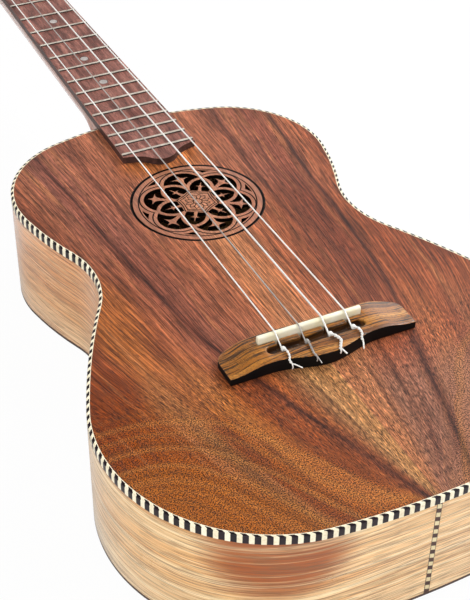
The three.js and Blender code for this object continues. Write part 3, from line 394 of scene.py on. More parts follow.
def shader_group(name, inputs, outputs):
    """A new group whose sockets are floats, but for Place, which is a vector."""
    tree = bpy.data.node_groups.new(name, "ShaderNodeTree")
    for way, titles in (("INPUT", inputs), ("OUTPUT", outputs)):
        for title in titles:
            kind = "NodeSocketVector" if title == "Place" else "NodeSocketFloat"
            tree.interface.new_socket(name=title, in_out=way, socket_type=kind)
    wires = Wiring(tree)
    given = wires.signals(tree.nodes.new("NodeGroupInput"))
    return tree, wires, given, tree.nodes.new("NodeGroupOutput").inputs


def new_material(name):
    material = bpy.data.materials.new(name)
    material.use_nodes = True
    wires = Wiring(material.node_tree)
    return material, wires, material.node_tree.nodes["Principled BSDF"]


def finish_with(wires, shader, **feeds):
    for name, value in feeds.items():
        wires.feed(shader.inputs[name.replace("_", " ")], value)


# Shared effects
def make_open_pores():
    """Short dark dashes along the grain and the fine fibres between them."""
    tree, wires, given, result = shader_group(
        "open_pores", ("Across", "Along", "Depth", "Width", "Length"), ("Pores", "Fibres"))
    across = given["Across"] / given["Width"]
    along = given["Along"] / given["Length"]
    deep = given["Depth"] / given["Width"]
    speckle = wires.noise(wires.join(across, along, deep), detail=1, rough=0.4)
    patches = wires.noise(wires.join(across * 0.11, along * 0.4, deep), detail=1)
    level = speckle + (patches - 0.5) * 0.25
    wires.feed(result["Pores"], level.mask(0.54, 0.62))
    long_fibre = wires.join(across * 0.55, along * 0.16, deep)
    wires.feed(result["Fibres"], wires.noise(long_fibre, detail=3, rough=0.65))
    return tree


def make_edge_wear():
    """Where an outer edge has been rubbed: the rounded normal parts from the flat one there."""
    tree, wires, given, result = shader_group("edge_wear", ("Place", "Width"), ("Worn",))
    soft = wires.put(0, "Bevel", {"Radius": given["Width"]}, samples=4)
    plain = wires.put("Normal", "NewGeometry")
    match = wires.put("Value", "VectorMath", {0: soft, 1: plain}, operation="DOT_PRODUCT")
    ragged = wires.noise(given["Place"], 0.35, detail=3)
    wires.feed(result["Worn"], match.mask(0.995, 0.86) * ragged.mask(0.38, 0.62))
    return tree


def make_handled_gloss():
    """Roughness of a rubbed finish, with faint smears and fine dust."""
    tree, wires, given, result = shader_group(
        "handled_gloss", ("Place", "Roughness", "Spread"), ("Roughness",))
    smears = wires.noise(given["Place"], 0.03, detail=3, warp=0.6)
    dust = wires.noise(given["Place"], 1.4, detail=1)
    swing = (smears + dust * 0.3 - 0.65) * given["Spread"]
    wires.feed(result["Roughness"], wires.math("ADD", given["Roughness"], swing, clamp=True))
    return tree


def make_inlay_blocks():
    """Two woods in turn along a strip: a mask for the dark one and a line at each joint."""
    tree, wires, given, result = shader_group(
        "inlay_blocks", ("Run", "Pitch", "Dark Share", "Joint"), ("Dark", "Joint Line", "Number"))
    turns = given["Run"] / given["Pitch"]
    wires.feed(result["Number"], wires.math("FLOOR", turns))
    share = wires.math("FRACT", turns)
    edge = given["Joint"] / given["Pitch"]
    to_end = given["Dark Share"] - share
    near = wires.math("MINIMUM", share, abs(to_end))
    soft = edge * 0.5
    wires.feed(result["Dark"], to_end.mask(soft * -1, soft))
    wires.feed(result["Joint Line"], near.mask(edge, 0))
    return tree


# Lie of the grain in the top: where the halves gather toward the tail, and the arches at its edges
gather_start = 40
gather_length = 152
neck_spread = 0.0019
arch_aside = 112
arch_back = 75
arch_lean_back = 60


def make_bookmatch():
    """Lie of the grain in the two bookmatched halves, in mm: the lines of growth run together at the
    tail and spread a little toward the neck."""
    tree, wires, given, result = shader_group(
        "bookmatch", ("Place",), ("Out", "Even", "Streak", "Second", "Arch", "Lower", "Treble"))
    x, y, _ = wires.split(given["Place"])
    slow = wires.noise(wires.join(x * 0.035, y * 0.011))
    out = abs(x) + (slow - 0.5) * 5
    treble = x.mask(-0.5, 0.5)
    fall = wires.math("DIVIDE", gather_start - y, gather_length, clamp=True) ** 1.2
    spread = 1 + wires.most(y - gather_start, 0) * neck_spread

    def narrowed(share):
        return spread - fall * share

    def off_line(bass_place, treble_place, bass_gather, treble_gather):
        gather = narrowed(treble.mask(0, 1, bass_gather, treble_gather))
        return out - treble.mask(0, 1, bass_place, treble_place) * gather

    bent = out / narrowed(0.14)
    hold = 0.2 + 0.74 / ((bent / 39) ** 1.9 + 1)
    wires.feed(result["Out"], out / narrowed(hold))
    wires.feed(result["Even"], out / narrowed(0.5))
    wires.feed(result["Streak"], off_line(50, 59, 0.93, 0.69))
    wires.feed(result["Second"], off_line(74, 36, 0.52, 0.72))
    lean = wires.most(-arch_lean_back - y, 0) * 0.55
    lift = wires.most(y + arch_back, 0) * 1.23
    wires.feed(result["Arch"], wires.length(out + lean - arch_aside, lift))
    wires.feed(result["Lower"], y.mask(30, -30))
    wires.feed(result["Treble"], treble)
    return tree


open_pores = make_open_pores()
edge_wear = make_edge_wear()
handled_gloss = make_handled_gloss()
inlay_blocks = make_inlay_blocks()
bookmatch = make_bookmatch()


def gloss(wires, place, roughness, spread=0.12):
    return wires.group(handled_gloss, Place=place, Roughness=roughness, Spread=spread)["Roughness"]


def rub_edges(wires, place, base, width, share, code):
    worn = wires.group(edge_wear, Place=place, Width=width * MM)["Worn"]
    return wires.blend(worn * share, base, code)


def fibre_height(grain):
    return grain["Fibres"] * 0.3 - grain["Pores"]


# The top's colours by share of the way out from the centre joint
figure_reach = 120
upper_stops = (
    (0, "ce8a60"), (0.07, "c47e54"), (0.13, "aa6646"), (0.19, "aa6547"), (0.25, "9c5c41"),
    (0.31, "92543e"), (0.36, "945743"), (0.41, "8c4f3d"), (0.46, "98573f"), (0.52, "a8603e"),
    (0.6, "9c5230"), (0.7, "8e4a2a"), (0.85, "8a4626"), (1, "7e3e20"),
)
lower_stops = (
    (0, "ac794a"), (0.08, "af7a48"), (0.16, "b98553"), (0.24, "905b38"), (0.31, "a85a2c"),
    (0.37, "8a4520"), (0.43, "813d1b"), (0.49, "985120"), (0.55, "ac672e"), (0.61, "97501a"),
    (0.67, "803f19"), (0.72, "8b5a30"), (0.77, "85491f"), (0.82, "823f10"), (0.9, "92480d"),
    (1, "833c08"),
)


# Spots with a tone of their own: middle and half size, aside and ahead on the top, and along and up
# the side
treble_waist_spot = (45, 62, 34, 64)
bass_waist_spot = (-80, 48, 16, 46)
bass_edge_spot = (-108, 2, 24, 32)
light_spot = (-72, -12, 17, 30)
under_board_spot = (0, 170, 26, 14)
side_patch_spot = (72, 52, 30, 26)


def round_spot(x, y, middle_x, middle_y, half_width, half_length):
    """Nothing at the middle of an oval spot, 1 at its edge."""
    return ((x - middle_x) / half_width) ** 2 + ((y - middle_y) / half_length) ** 2


def lay_tones(wires, figure, x, along):
    """The broad colours of the two halves."""
    out, lower, treble = figure["Out"], figure["Lower"], figure["Treble"]
    share = out / figure_reach
    base = wires.blend(lower, wires.ramp(share, upper_stops), wires.ramp(share, lower_stops))
    ring = out.mask(34, 48, 0, 0.5) * out.mask(50, 64, 1, 0.4)
    base = wires.blend(ring * (treble * along.mask(0, 40)), base, "763a26")
    bass_rim = x.mask(-56, -70) * along.mask(60, 100)
    base = wires.blend(bass_rim, base, "e2e8fa", "MULTIPLY")
    treble_waist = round_spot(x, along, *treble_waist_spot).mask(1.5, 0.3)
    waist = along.mask(10, 35, 0, 0.45) * along.mask(115, 85)
    bass_edge = round_spot(x, along, *bass_edge_spot).mask(1, 0.3)
    deeper = wires.most(wires.most(treble_waist, waist), bass_edge)
    base = wires.blend(deeper, base, "e9dac4", "MULTIPLY")
    light = round_spot(x, along, *light_spot).mask(1.3, 0.2, 0, 0.35)
    base = wires.blend(light, base, "c47c44")
    bass_waist = round_spot(x, along, *bass_waist_spot).mask(1.2, 0.2, 0, 0.4)
    base = wires.blend(bass_waist, base, "b8702e")
    base = wires.blend(lower * treble * 0.55, base, "a65c42")
    pink = out.mask(18, 34, 0, 0.42) * along.mask(-20, -50)
    base = wires.blend(pink * treble, base, "7b6959")
    under_board = round_spot(x, along, *under_board_spot).mask(1.6, 0.2, 0, 0.75)
    return wires.blend(under_board, base, "b4652c")


def lay_streaks(wires, base, figure, x, along):
    """Wide soft bands, and in each half one dark streak and one faint one."""
    wide = wires.noise(wires.join(figure["Out"] * 0.22, along * 0.008), detail=3, rough=0.6)
    base = wires.blend(wide.mask(0.34, 0.5, 0.5, 0), base, "5a2c1c")
    base = wires.blend(wide.mask(0.54, 0.72, 0, 0.4), base, "c07c4c")
    streak = abs(figure["Streak"])
    base = wires.blend(streak.mask(5, 0.5, 0, along.mask(20, -30, 0.4, 0.7)), base, "5c2e20")
    broken = wires.noise(wires.join(x * 0.05, along * 0.03), detail=1)
    base = wires.blend(streak.mask(1.5, 0.2) * broken.mask(0.3, 0.65, 0.25, 0.85), base, "2e1712")
    faint = abs(figure["Second"]).mask(3, 0.2) * broken.mask(0.3, 0.7, 0.1, 0.6)
    return wires.blend(faint, base, "4a241a")


def lay_arches(wires, base, figure, along):
    """Soft arches of the growth lines in the lower bout, and a mask of where they lie."""
    arch, lower = figure["Arch"], figure["Lower"]
    base = wires.blend(arch.mask(44, 30) * lower * 0.75, base, "9a561a")
    arches = arch.mask(84, 66, 0, 0.8) * lower
    dark_arch = wires.noise(wires.join(arch, along * 0.004), 0.2, detail=3, rough=0.65)
    base = wires.blend(arches * dark_arch.mask(0.5, 0.36, 0, 0.75), base, "683610")
    pale_arch = wires.noise(wires.join(arch, along * 0.004, 5), 0.17, detail=1)
    return wires.blend(arches * pale_arch.mask(0.47, 0.7, 0, 0.5), base, "ae7238"), arches


def figure_colours(wires, place):
    """Colour, dark pores and height of the bookmatched top."""
    figure = wires.group(bookmatch, Place=place)
    x, along, _ = wires.split(place)
    even, lower = figure["Even"], figure["Lower"]
    base = lay_tones(wires, figure, x, along)
    base = lay_streaks(wires, base, figure, x, along)
    base, arches = lay_arches(wires, base, figure, along)
    slanted = along + even * 7.3
    lines = wires.noise(wires.join(even * 0.9, slanted * 0.014), detail=3, rough=0.75)
    lines = arches.mask(0, 1.1, lines.mask(0.32, 0.68, 0.52, 1.48), 1)
    dashes = wires.noise(wires.join(even * 2.1, slanted * 0.04), rough=0.7)
    dots = wires.noise(wires.join(even * 2.5, along * 0.28), rough=0.7)
    speckle = wires.noise(wires.join(x, along), 1.7, detail=1)
    dots = arches.mask(0.1, 0.7, dots.mask(0.33, 0.67, 0.15, 1.85), speckle.mask(0.36, 0.64, 0.1, 1.9))
    base = wires.shade(base, lines * lower.mask(0, 1, dashes.mask(0.33, 0.67, 0.4, 1.6), dots))
    long_grain = wires.group(open_pores, Across=even, Along=along, Depth=0, Width=0.34, Length=5)
    short_grain = wires.group(open_pores, Across=even, Along=along, Depth=0, Width=0.36, Length=3.2)
    pores = lower.mask(0, 1, long_grain["Pores"], short_grain["Pores"])
    strength = lower.mask(0, 1, 0.42, arches.mask(0, 0.8, 0.6, 0.4))
    base = wires.blend(pores * strength, base, "2c120a")
    return base, pores, long_grain["Fibres"] * 0.3 - pores


def make_top_wood():
    material, wires, shader = new_material("satin_figured_top")
    place = wires.place()
    base, pores, height = figure_colours(wires, place)
    base = rub_edges(wires, place, base, 0.6, 0.4, "c08a60")
    x, y, _ = wires.split(place)
    from_hole = wires.length(x, y - rosette_ahead)
    base = wires.blend(from_hole.mask(soundhole_radius + 0.5, soundhole_radius + 0.3), base, "0c0605")
    rough = wires.math("ADD", gloss(wires, place, 0.38), pores * 0.2, clamp=True)
    finish_with(wires, shader, Base_Color=base, Roughness=rough, Specular_IOR_Level=0.28,
                Normal=wires.bump(height, 0.03))
    return material


# Engraved lines of the rosette: where each circle stands and its radius
lobe_ahead = 18.2
lobe_radius = 13.3
ring_radius = 32
inner_reach = 24.5
star_ahead = 32.3
star_radii = (23.2, 24.5)
petal_radius = 5.9
petal_depth = 0.75
eye_radius = 2.4
rim_radius = 34.9


def engraved_circle(wires, x, y, middle_x, middle_y, radius, width):
    """A line along a circle, and the distance from the circle's middle."""
    across = x - middle_x
    along = y - middle_y
    away = wires.math("SQRT", across * across + along * along)
    return abs(away - radius).mask(width, width * 0.45), away


def rosette_hub(wires, radius, turned):
    """A scalloped ring round an eye, with twelve spokes between them."""
    petal = wires.math("COSINE", turned * 12) * petal_depth + petal_radius
    scallop = abs(radius - petal).mask(0.44, 0.2)
    eye = abs(radius - eye_radius).mask(0.4, 0.18)
    half_gap = math.pi / 12
    off_spoke = (half_gap - wires.math("PINGPONG", turned, half_gap)) * radius
    between = radius.mask(eye_radius, eye_radius + 0.3) * radius.mask(petal_radius - 0.5, petal_radius - 0.9)
    return wires.most(wires.most(scallop, eye), off_spoke.mask(0.36, 0.16) * between)


def rosette_lines(wires, x, y):
    """The engraved lines, drawn in one half of a sixth and folded over to the others."""
    sixth = math.pi / 3
    radius = wires.length(x, y)
    angle = wires.math("ARCTAN2", y, x)
    turned = wires.math("FLOORED_MODULO", angle + sixth / 2, sixth) - sixth / 2
    spot = (radius * wires.math("COSINE", turned), abs(radius * wires.math("SINE", turned)))
    lobe = (lobe_ahead * math.cos(sixth / 2), lobe_ahead * math.sin(sixth / 2))
    arc, from_lobe = engraved_circle(wires, *spot, *lobe, lobe_radius, 0.5)
    ring, _ = engraved_circle(wires, *spot, 0, 0, ring_radius, 0.48)
    inside_ring = radius.mask(ring_radius + 0.2, ring_radius - 0.1)
    on_arc = arc * (inside_ring * radius.mask(inner_reach, inner_reach + 1))
    lines = wires.most(ring * from_lobe.mask(lobe_radius - 0.4, lobe_radius - 0.1), on_arc)
    near_star, far_star = (
        engraved_circle(wires, *spot, star_ahead, 0, star_radius, width)[0]
        for star_radius, width in zip(star_radii, (0.42, 0.38)))
    lines = wires.most(lines, wires.most(near_star, far_star))
    lines = wires.most(lines, rosette_hub(wires, radius, turned))
    return wires.most(lines, radius.mask(rim_radius, rim_radius + 0.25))


def make_rosette_wood():
    material, wires, shader = new_material("engraved_rosette_wood")
    place = wires.place()
    base, _, height = figure_colours(wires, place)
    base = wires.blend(0.55, base, "b07a62")
    x, y, _ = wires.split(place)
    lines = rosette_lines(wires, x, y - rosette_ahead)
    _, _, facing_up = wires.split(wires.put("True Normal", "NewGeometry"))
    burnt = wires.most(lines, facing_up.mask(0.75, 0.35))
    base = wires.blend(burnt, base, "0c0605")
    finish_with(wires, shader, Base_Color=base, Roughness=gloss(wires, place, 0.5, 0.1),
                Specular_IOR_Level=burnt.mask(0, 1, 0.3, 0.05),
                Normal=wires.bump(height * 0.15 - lines, 0.15))
    return material


run_name = "outline_run"


def outline_run(wires):
    """Distance from the tail, height and inset of the place, as mark_run wrote them."""
    return wires.split(wires.put("Vector", "Attribute", attribute_name=run_name))


def make_side_wood():
    material, wires, shader = new_material("satin_side_wood")
    run, rise, _ = outline_run(wires)
    along = run / MM
    across = rise / MM
    bowed = across + wires.math("SINE", along * 0.012) * 7
    long_line = wires.noise(wires.join(bowed * 0.3, along * 0.0035), detail=3, rough=0.6)
    base = wires.ramp(long_line, (
        (0.28, "cc8a44"), (0.38, "e2a862"), (0.46, "eebc7c"), (0.54, "f6cc90"), (0.64, "ffe2b0"),
        (0.78, "f0c284")))
    foot = across.mask(26, 4) * along.mask(120, 170, 0.3, 0.75)
    base = wires.blend(foot, base, "ffe6bc")
    at_shoulder = along.mask(225, 290) * across.mask(10, 40, 0.5, 1)
    base = wires.blend(at_shoulder * 0.8, base, "d88a48")
    thin_line = wires.noise(wires.join(bowed * 1.5, along * 0.008, 3), detail=3, rough=0.7)
    base = wires.blend(thin_line.mask(0.47, 0.38, 0, 0.85), base, "8a4e1c")
    base = wires.blend(thin_line.mask(0.55, 0.64, 0, 0.6), base, "fbe0b0")
    patch = round_spot(along, across, *side_patch_spot).mask(1.7, 0.3)
    base = wires.blend(patch * long_line.mask(0.66, 0.46, 0.6, 1), base, "a04e04")
    grain = wires.group(open_pores, Across=across, Along=along, Depth=2, Width=0.55, Length=12)
    base = wires.shade(base, grain["Fibres"].mask(0.34, 0.66, 0.8, 1.12))
    base = wires.blend(grain["Pores"] * 0.45, base, "704a1e")
    finish_with(wires, shader, Base_Color=base, Roughness=gloss(wires, wires.place(), 0.3),
                Specular_IOR_Level=0.5, Coat_Weight=patch.mask(0, 1, 0.8, 0.2), Coat_Roughness=0.1,
                Normal=wires.bump(fibre_height(grain), 0.02))
    return material


def lay_inlay(wires, shader, blocks, place, dark_code, pale_code, line, line_code):
    """Dark and pale blocks in turn, each pair with its own tint, and a plain line beside them."""
    tint = wires.put(0, "TexWhiteNoise", {"W": blocks["Number"]}, noise_dimensions="1D")
    grain = wires.noise(place, 0.9, detail=3)
    dark = wires.blend(tint * 0.4, dark_code, "301a24")
    pale = wires.blend(tint * 0.35, pale_code, "d8c596")
    pale = wires.blend(grain.mask(0.45, 0.7, 0, 0.35), pale, "cdb88c")
    base = wires.blend(line, wires.blend(blocks["Dark"], pale, dark), line_code)
    finish_with(wires, shader, Base_Color=base, Roughness=gloss(wires, place, 0.34),
                Specular_IOR_Level=0.3, Normal=wires.bump(blocks["Joint Line"] * -1, 0.05))


def make_rope_inlay():
    material, wires, shader = new_material("rope_inlay_blocks")
    run, _, inset = outline_run(wires)
    place = wires.place()
    slanted = run - inset.mask(0.3 * MM, binding_thickness * MM, 0, rope_slant * MM)
    blocks = wires.group(inlay_blocks, Run=slanted, Pitch=rope_pitch * MM, Dark_Share=rope_dark_share,
                         Joint=rope_joint * MM)
    line = inset.mask((binding_thickness - 0.06) * MM, (binding_thickness + 0.06) * MM)
    lay_inlay(wires, shader, blocks, place, "120810", "fdf4da", line, "faf0d4")
    return material


def make_graft_inlay():
    material, wires, shader = new_material("end_graft_blocks")
    place = wires.place()
    x, _, z = wires.split(place)
    slanted = z + x * graft_slant_share
    blocks = wires.group(inlay_blocks, Run=slanted + graft_start, Pitch=graft_pitch,
                         Dark_Share=graft_dark_share, Joint=graft_joint)
    line = abs(x).mask(graft_width / 2 - 0.34, graft_width / 2 - 0.24)
    lay_inlay(wires, shader, blocks, place, "4a2c22", "e6d6aa", line, "3a241c")
    return material


stretch_width = 6


def make_wood(name, stops, stripe, stretch, pore=(0.5, 6), pore_code="2a1812", pore_strength=0.5,
              roughness=0.45, coat=0, worn_code=None):
    """A plain wood: streaks along the grain, pores, fibres and rubbed edges. A streak is a stripe wide,
    and stretch is the length of one that is as wide as stretch_width."""
    material, wires, shader = new_material(name)
    place = wires.place()
    across, along, deep = wires.split(place)
    streak = wires.join(across / stripe, along / (stretch * stripe / stretch_width), deep / stripe)
    base = wires.ramp(wires.noise(streak, detail=4, rough=0.6, warp=0.3), stops)
    grain = wires.group(open_pores, Across=across, Along=along, Depth=deep, Width=pore[0], Length=pore[1])
    base = wires.shade(base, grain["Fibres"].mask(0.35, 0.65, 0.82, 1.14))
    base = wires.blend(grain["Pores"] * pore_strength, base, pore_code)
    if worn_code:
        base = rub_edges(wires, place, base, 0.7, 0.5, worn_code)
    finish_with(wires, shader, Base_Color=base, Roughness=gloss(wires, place, roughness, 0.15),
                Specular_IOR_Level=0.38, Coat_Weight=coat, Coat_Roughness=0.15,
                Normal=wires.bump(fibre_height(grain), 0.035))
    return material


def make_bridge_wood():
    """Golden brown with thin dark lines that run the length of the bridge, and painted shade in the string
    trough.
    """
    material, wires, shader = new_material("bridge_wood")
    place = wires.place((0, 0, 90))
    across, along, deep = wires.split(place)
    flow = wires.noise(wires.join(across * 0.05, along * 0.016, 2), detail=1)
    bent = across + deep * 0.35 + flow * 10
    bands = wires.noise(wires.join(bent * 0.24, along * 0.005), detail=3, rough=0.6)
    base = wires.ramp(bands, (
        (0.3, "542c08"), (0.37, "80480e"), (0.44, "a4621a"), (0.52, "b87426"), (0.62, "cc8a38"),
        (0.8, "d89e50")))
    for level, strength in ((0.42, 0.95), (0.51, 0.85), (0.6, 0.7)):
        base = wires.blend(abs(bands - level).mask(0.02, 0.006, 0, strength), base, "1e1008")
    lines = wires.noise(wires.join(bent * 1.7, along * 0.03, 7), detail=3, rough=0.7)
    base = wires.shade(base, lines.mask(0.32, 0.68, 0.68, 1.3))
    grain = wires.group(open_pores, Across=across, Along=along, Depth=deep, Width=0.35, Length=2.6)
    base = wires.blend(grain["Pores"] * 0.5, base, "2a180a")
    base = rub_edges(wires, place, base, 0.7, 0.35, "c9a468")
    # Painted shade: the sunk part of the string trough is darkened.
    x, y, z = wires.split(wires.place())
    bridge_top = body_depth + bridge_height
    sunk = z.mask(bridge_top - 0.4, bridge_top - 1.6)
    aside = abs(x - routing_aside).mask(trough_half_length, trough_half_length - trough_shade_soft)
    off_middle = abs(y - (trough_front - trough_width / 2))
    trough_shade_mask = aside * off_middle.mask(trough_half_reach, trough_half_reach - trough_shade_soft)
    base = wires.blend(sunk * trough_shade_mask * 0.8, base, "2c1608")
    finish_with(wires, shader, Base_Color=base, Roughness=gloss(wires, place, 0.34),
                Specular_IOR_Level=0.5, Coat_Weight=0.45, Coat_Roughness=0.26,
                Normal=wires.bump(fibre_height(grain), 0.03))
    return material


def make_plain(name, code, second, roughness, metallic=0, mottle=0.05, worn_code=None, depth=0.01, **feeds):
    """An even material such as bone, plastic or plated metal: cloudy colour, fine marks, rubbed edges."""
    material, wires, shader = new_material(name)
    place = wires.place()
    base = wires.blend(wires.noise(place, mottle, detail=4).mask(0.35, 0.65), code, second)
    if worn_code:
        base = rub_edges(wires, place, base, 0.5, 0.6, worn_code)
    marks = wires.noise(place, 2.2)
    finish_with(wires, shader, Base_Color=base, Roughness=gloss(wires, place, roughness, 0.1),
                Metallic=metallic, Normal=wires.bump(marks, depth), **feeds)
    return material


def make_fret_metal():
    """Nickel wire: a bright crest, and the flank that faces the tail painted near black as shade."""
    material, wires, shader = new_material("nickel_frets")
    place = wires.place()
    _, tailward, _ = wires.split(wires.put("True Normal", "NewGeometry"))
    marks = wires.noise(place, 0.3, detail=3)
    crest = wires.blend(marks.mask(0.35, 0.65), "dcd4c6", "cac0b2")
    # Painted shade: the flank that faces the tail is darkened to near black.
    base = wires.blend(tailward.mask(-0.45, -0.75), crest, "30221e")
    finish_with(wires, shader, Base_Color=base, Roughness=gloss(wires, place, 0.42, 0.1), Metallic=0.3,
                Normal=wires.bump(marks, 0.004))
    return material


top_wood = make_top_wood()
rosette_wood = make_rosette_wood()
side_wood = make_side_wood()
rope_inlay = make_rope_inlay()
graft_inlay = make_graft_inlay()
back_wood = make_wood(
    "satin_back_wood", ((0.3, "7a5434"), (0.42, "b08350"), (0.52, "cba06a"), (0.66, "d9b680")),
    stripe=7, stretch=90, pore_code="6a4a30", pore_strength=0.4, roughness=0.32, coat=0.3)
back_edge_wood = make_plain("dark_back_edge", "38221a", "4a2e22", 0.4)
neck_wood = make_wood(
    "neck_wood", ((0.3, "7a4a38"), (0.45, "a4684e"), (0.55, "b87a60"), (0.7, "c88a70")),
    stripe=5, stretch=60, roughness=0.4, coat=1, worn_code="b88868")
board_wood = make_wood(
    "fretboard_wood",
    ((0.28, "54302a"), (0.42, "7c4c42"), (0.52, "945e52"), (0.62, "a87062"), (0.75, "b88070")),
    stripe=4, stretch=50, pore=(0.4, 3.5), worn_code="9a7468")
# The fretboard's wood in darker tones for its steep sides and end: painted shade.
board_side_shade_wood = make_wood(
    "fretboard_side_painted_shade", ((0.3, "2c1a16"), (0.5, "462c26"), (0.7, "5a3a32")),
    stripe=3, stretch=50, roughness=0.5)
bridge_wood = make_bridge_wood()
bridge_black = make_plain(
    "blackened_bridge_faces", "060505", "0c0a0a", 0.6, worn_code="1c1410", Specular_IOR_Level=0.15)
brace_wood = make_wood(
    "brace_spruce", ((0.3, "b28a58"), (0.5, "d3b07c"), (0.7, "e2c898")),
    stripe=2, stretch=80, pore_strength=0.15, roughness=0.7)
block_wood = make_wood(
    "block_mahogany", ((0.3, "6a4028"), (0.5, "8a5a3c"), (0.7, "9c6c4c")),
    stripe=4, stretch=40, roughness=0.7)
bone = make_plain("polished_bone", "fffae4", "faf0cc", 0.32, mottle=0.12, worn_code="fffaec", Coat_Weight=0.2)
pearl = make_plain("mother_of_pearl", "c4b8b2", "aea6a2", 0.22, mottle=0.5, Coat_Weight=0.6)
nylon = make_plain("string_nylon", "fbfaf6", "f0eee8", 0.28, Specular_IOR_Level=0.6)
wound_nylon = make_plain("thin_grey_string", "b8b2ac", "a49e98", 0.3, Specular_IOR_Level=0.6)
fret_metal = make_fret_metal()
chrome = make_plain("plated_steel", "d2d2d4", "bcbcc0", 0.16, metallic=1, depth=0.004)
casting = make_plain("plated_casting", "c6c6c8", "aeaeb2", 0.26, metallic=1, depth=0.006)
button_plastic = make_plain("button_plastic", "ece5d0", "ddd3b8", 0.25, mottle=0.1, Coat_Weight=0.4)


# Body outline
def outline_arcs():
    """Each arc as its centre, radius, bend, start heading, turn and the distance at which it starts."""
    arcs = []
    x, y, heading, distance = 0.0, body_end, 0.0, 0.0
    for radius, turn, bend in outline_bends:
        centre = (x - bend * radius * math.sin(heading), y - bend * radius * math.cos(heading))
        arcs.append((centre, radius, bend, heading, math.radians(turn), distance))
        heading += bend * math.radians(turn)
        distance += radius * math.radians(turn)
        x = centre[0] + bend * radius * math.sin(heading)
        y = centre[1] + bend * radius * math.cos(heading)
    tail_radius = x / math.sin(math.pi - heading)
    centre = (0.0, y - tail_radius * math.cos(heading))
    arcs.append((centre, tail_radius, 1, heading, math.pi - heading, distance))
    return arcs


arcs = outline_arcs()
tail_centre, tail_radius = arcs[-1][0], arcs[-1][1]
tail_end = tail_centre[1] - tail_radius
half_outline = arcs[-1][5] + tail_radius * arcs[-1][4]


def distance_along(x, y):
    """Distance from the tail, along the outline, of the outline's nearest point, and how far it is."""
    best, found = math.inf, 0.0
    for centre, radius, bend, start, turn, distance in arcs:
        dx, dy = abs(x) - centre[0], y - centre[1]
        passed = bend * (math.atan2(bend * dx, bend * dy) - start)
        passed = min(max((passed + math.pi) % (2 * math.pi) - math.pi, 0.0), turn)
        heading = start + bend * passed
        off = math.hypot(dx - bend * radius * math.sin(heading), dy - bend * radius * math.cos(heading))
        if off < best:
            best, found = off, distance + radius * passed
    return half_outline - found, best


def spin_outline(side=1, stop_short=0):
    """Sweeps what is selected down one side of the outline. stop_short is left free at the tail."""
    for number, (centre, radius, bend, _, turn, _) in enumerate(arcs):
        if number == len(arcs) - 1:
            turn -= math.asin(stop_short / radius)
        steps = math.ceil(max(math.degrees(turn) / outline_step_turn, radius * turn / outline_step_length))
        bpy.ops.mesh.spin(steps=steps, angle=turn, center=(side * centre[0] * MM, centre[1] * MM, 0),
                          axis=(0, 0, side * bend))


def mark_run(piece, treble_share=1):
    """Writes each corner's distance from the tail, height and inset as an attribute."""
    run = piece.data.attributes.new(run_name, "FLOAT_VECTOR", "POINT")
    for vertex, value in zip(piece.data.vertices, run.data):
        x, y, z = (c / MM for c in vertex.co)
        distance, inset = distance_along(x, y)
        if x > touch:
            distance *= treble_share
        value.vector = (distance * MM, z * MM, inset * MM)


def start_section(inset, width, bottom, top, keep_face):
    """A flat section of a strip, standing on the centreline at the neck end of the body."""
    middle = (0, (body_end - inset - width / 2) * MM, (bottom + top) / 2 * MM)
    select_nothing()
    bpy.ops.mesh.primitive_plane_add(size=1, location=middle, rotation=(0, math.pi / 2, 0))
    piece = bpy.context.object
    edit(piece)
    select_mesh()
    bpy.ops.transform.resize(value=(1, width * MM, (top - bottom) * MM))
    if not keep_face:
        bpy.ops.mesh.delete(type="ONLY_FACE")
        select_mesh()
    return piece


def mirror_over(piece):
    done()
    apply_place(piece)
    apply_modifier(piece, "MIRROR", use_axis=(True, False, False), use_mirror_merge=True,
                   merge_threshold=2 * touch * MM)
    close_mesh(piece)


def make_binding():
    width = binding_thickness + purfling_width - skin_inset
    piece = start_section(skin_inset, width, body_depth - binding_height, body_depth, False)
    spin_outline()
    mirror_over(piece)

    def on_outer_crest(spot):
        _, inset = distance_along(spot.x / MM, spot.y / MM)
        return spot.z > (body_depth - touch) * MM and inset < 2 * skin_inset

    bevel_edges(piece, on_outer_crest, binding_round)
    mark_run(piece, rope_treble_share)
    settle(piece, "rope_binding_strip", 40)
    fit(piece, "rope_binding", "rope_inlay", rope_inlay)


def make_side(side, word):
    width = side_thickness - skin_inset
    piece = start_section(skin_inset, width, plate_thickness, body_depth - binding_height, True)
    spin_outline(side, graft_width / 2)
    done()
    apply_place(piece)
    close_mesh(piece)
    mark_run(piece)
    settle(piece, "side_wall_" + word, 30)
    fit(piece, "side_" + word, "side_wood", side_wood)


def flat_outline(inset, height):
    select_nothing()
    bpy.ops.mesh.primitive_plane_add(size=MM, location=(0, (body_end - inset) * MM, height * MM))
    piece = bpy.context.object
    edit(piece)
    select_mesh()
    bpy.ops.mesh.merge(type="CENTER")
    select_mesh()
    spin_outline()
    mirror_over(piece)
    return piece


def thicken():
    select_mesh()
    bpy.ops.mesh.extrude_region_move(TRANSFORM_OT_translate={"value": (0, 0, -plate_thickness * MM)})
    select_mesh()
    bpy.ops.mesh.normals_make_consistent(inside=False)
    done()


def make_soundboard():
    piece = flat_outline(binding_thickness + purfling_width, body_depth)
    edit(piece)
    bpy.ops.mesh.primitive_circle_add(vertices=soundhole_corners, radius=soundhole_radius * MM,
                                      location=(0, rosette_ahead * MM, body_depth * MM))
    select_mesh()
    bpy.ops.mesh.fill(use_beauty=True)
    thicken()
    settle(piece, "figured_top_plate", 30)
    fit(piece, "soundboard", "top_wood", top_wood)


def make_back():
    piece = flat_outline(skin_inset, plate_thickness)
    edit(piece)
    select_mesh()
    bpy.ops.mesh.edge_face_add()
    thicken()
    bevel_edges(piece, lambda spot: spot.z < touch * MM, back_edge_round)
    settle(piece, "back_plate", 40)
    fit(piece, "back", "edge_wood", back_wood, back_edge_wood)
    for face in piece.data.polygons:
        face.material_index = 0 if abs(face.normal.z) > flat_share else 1


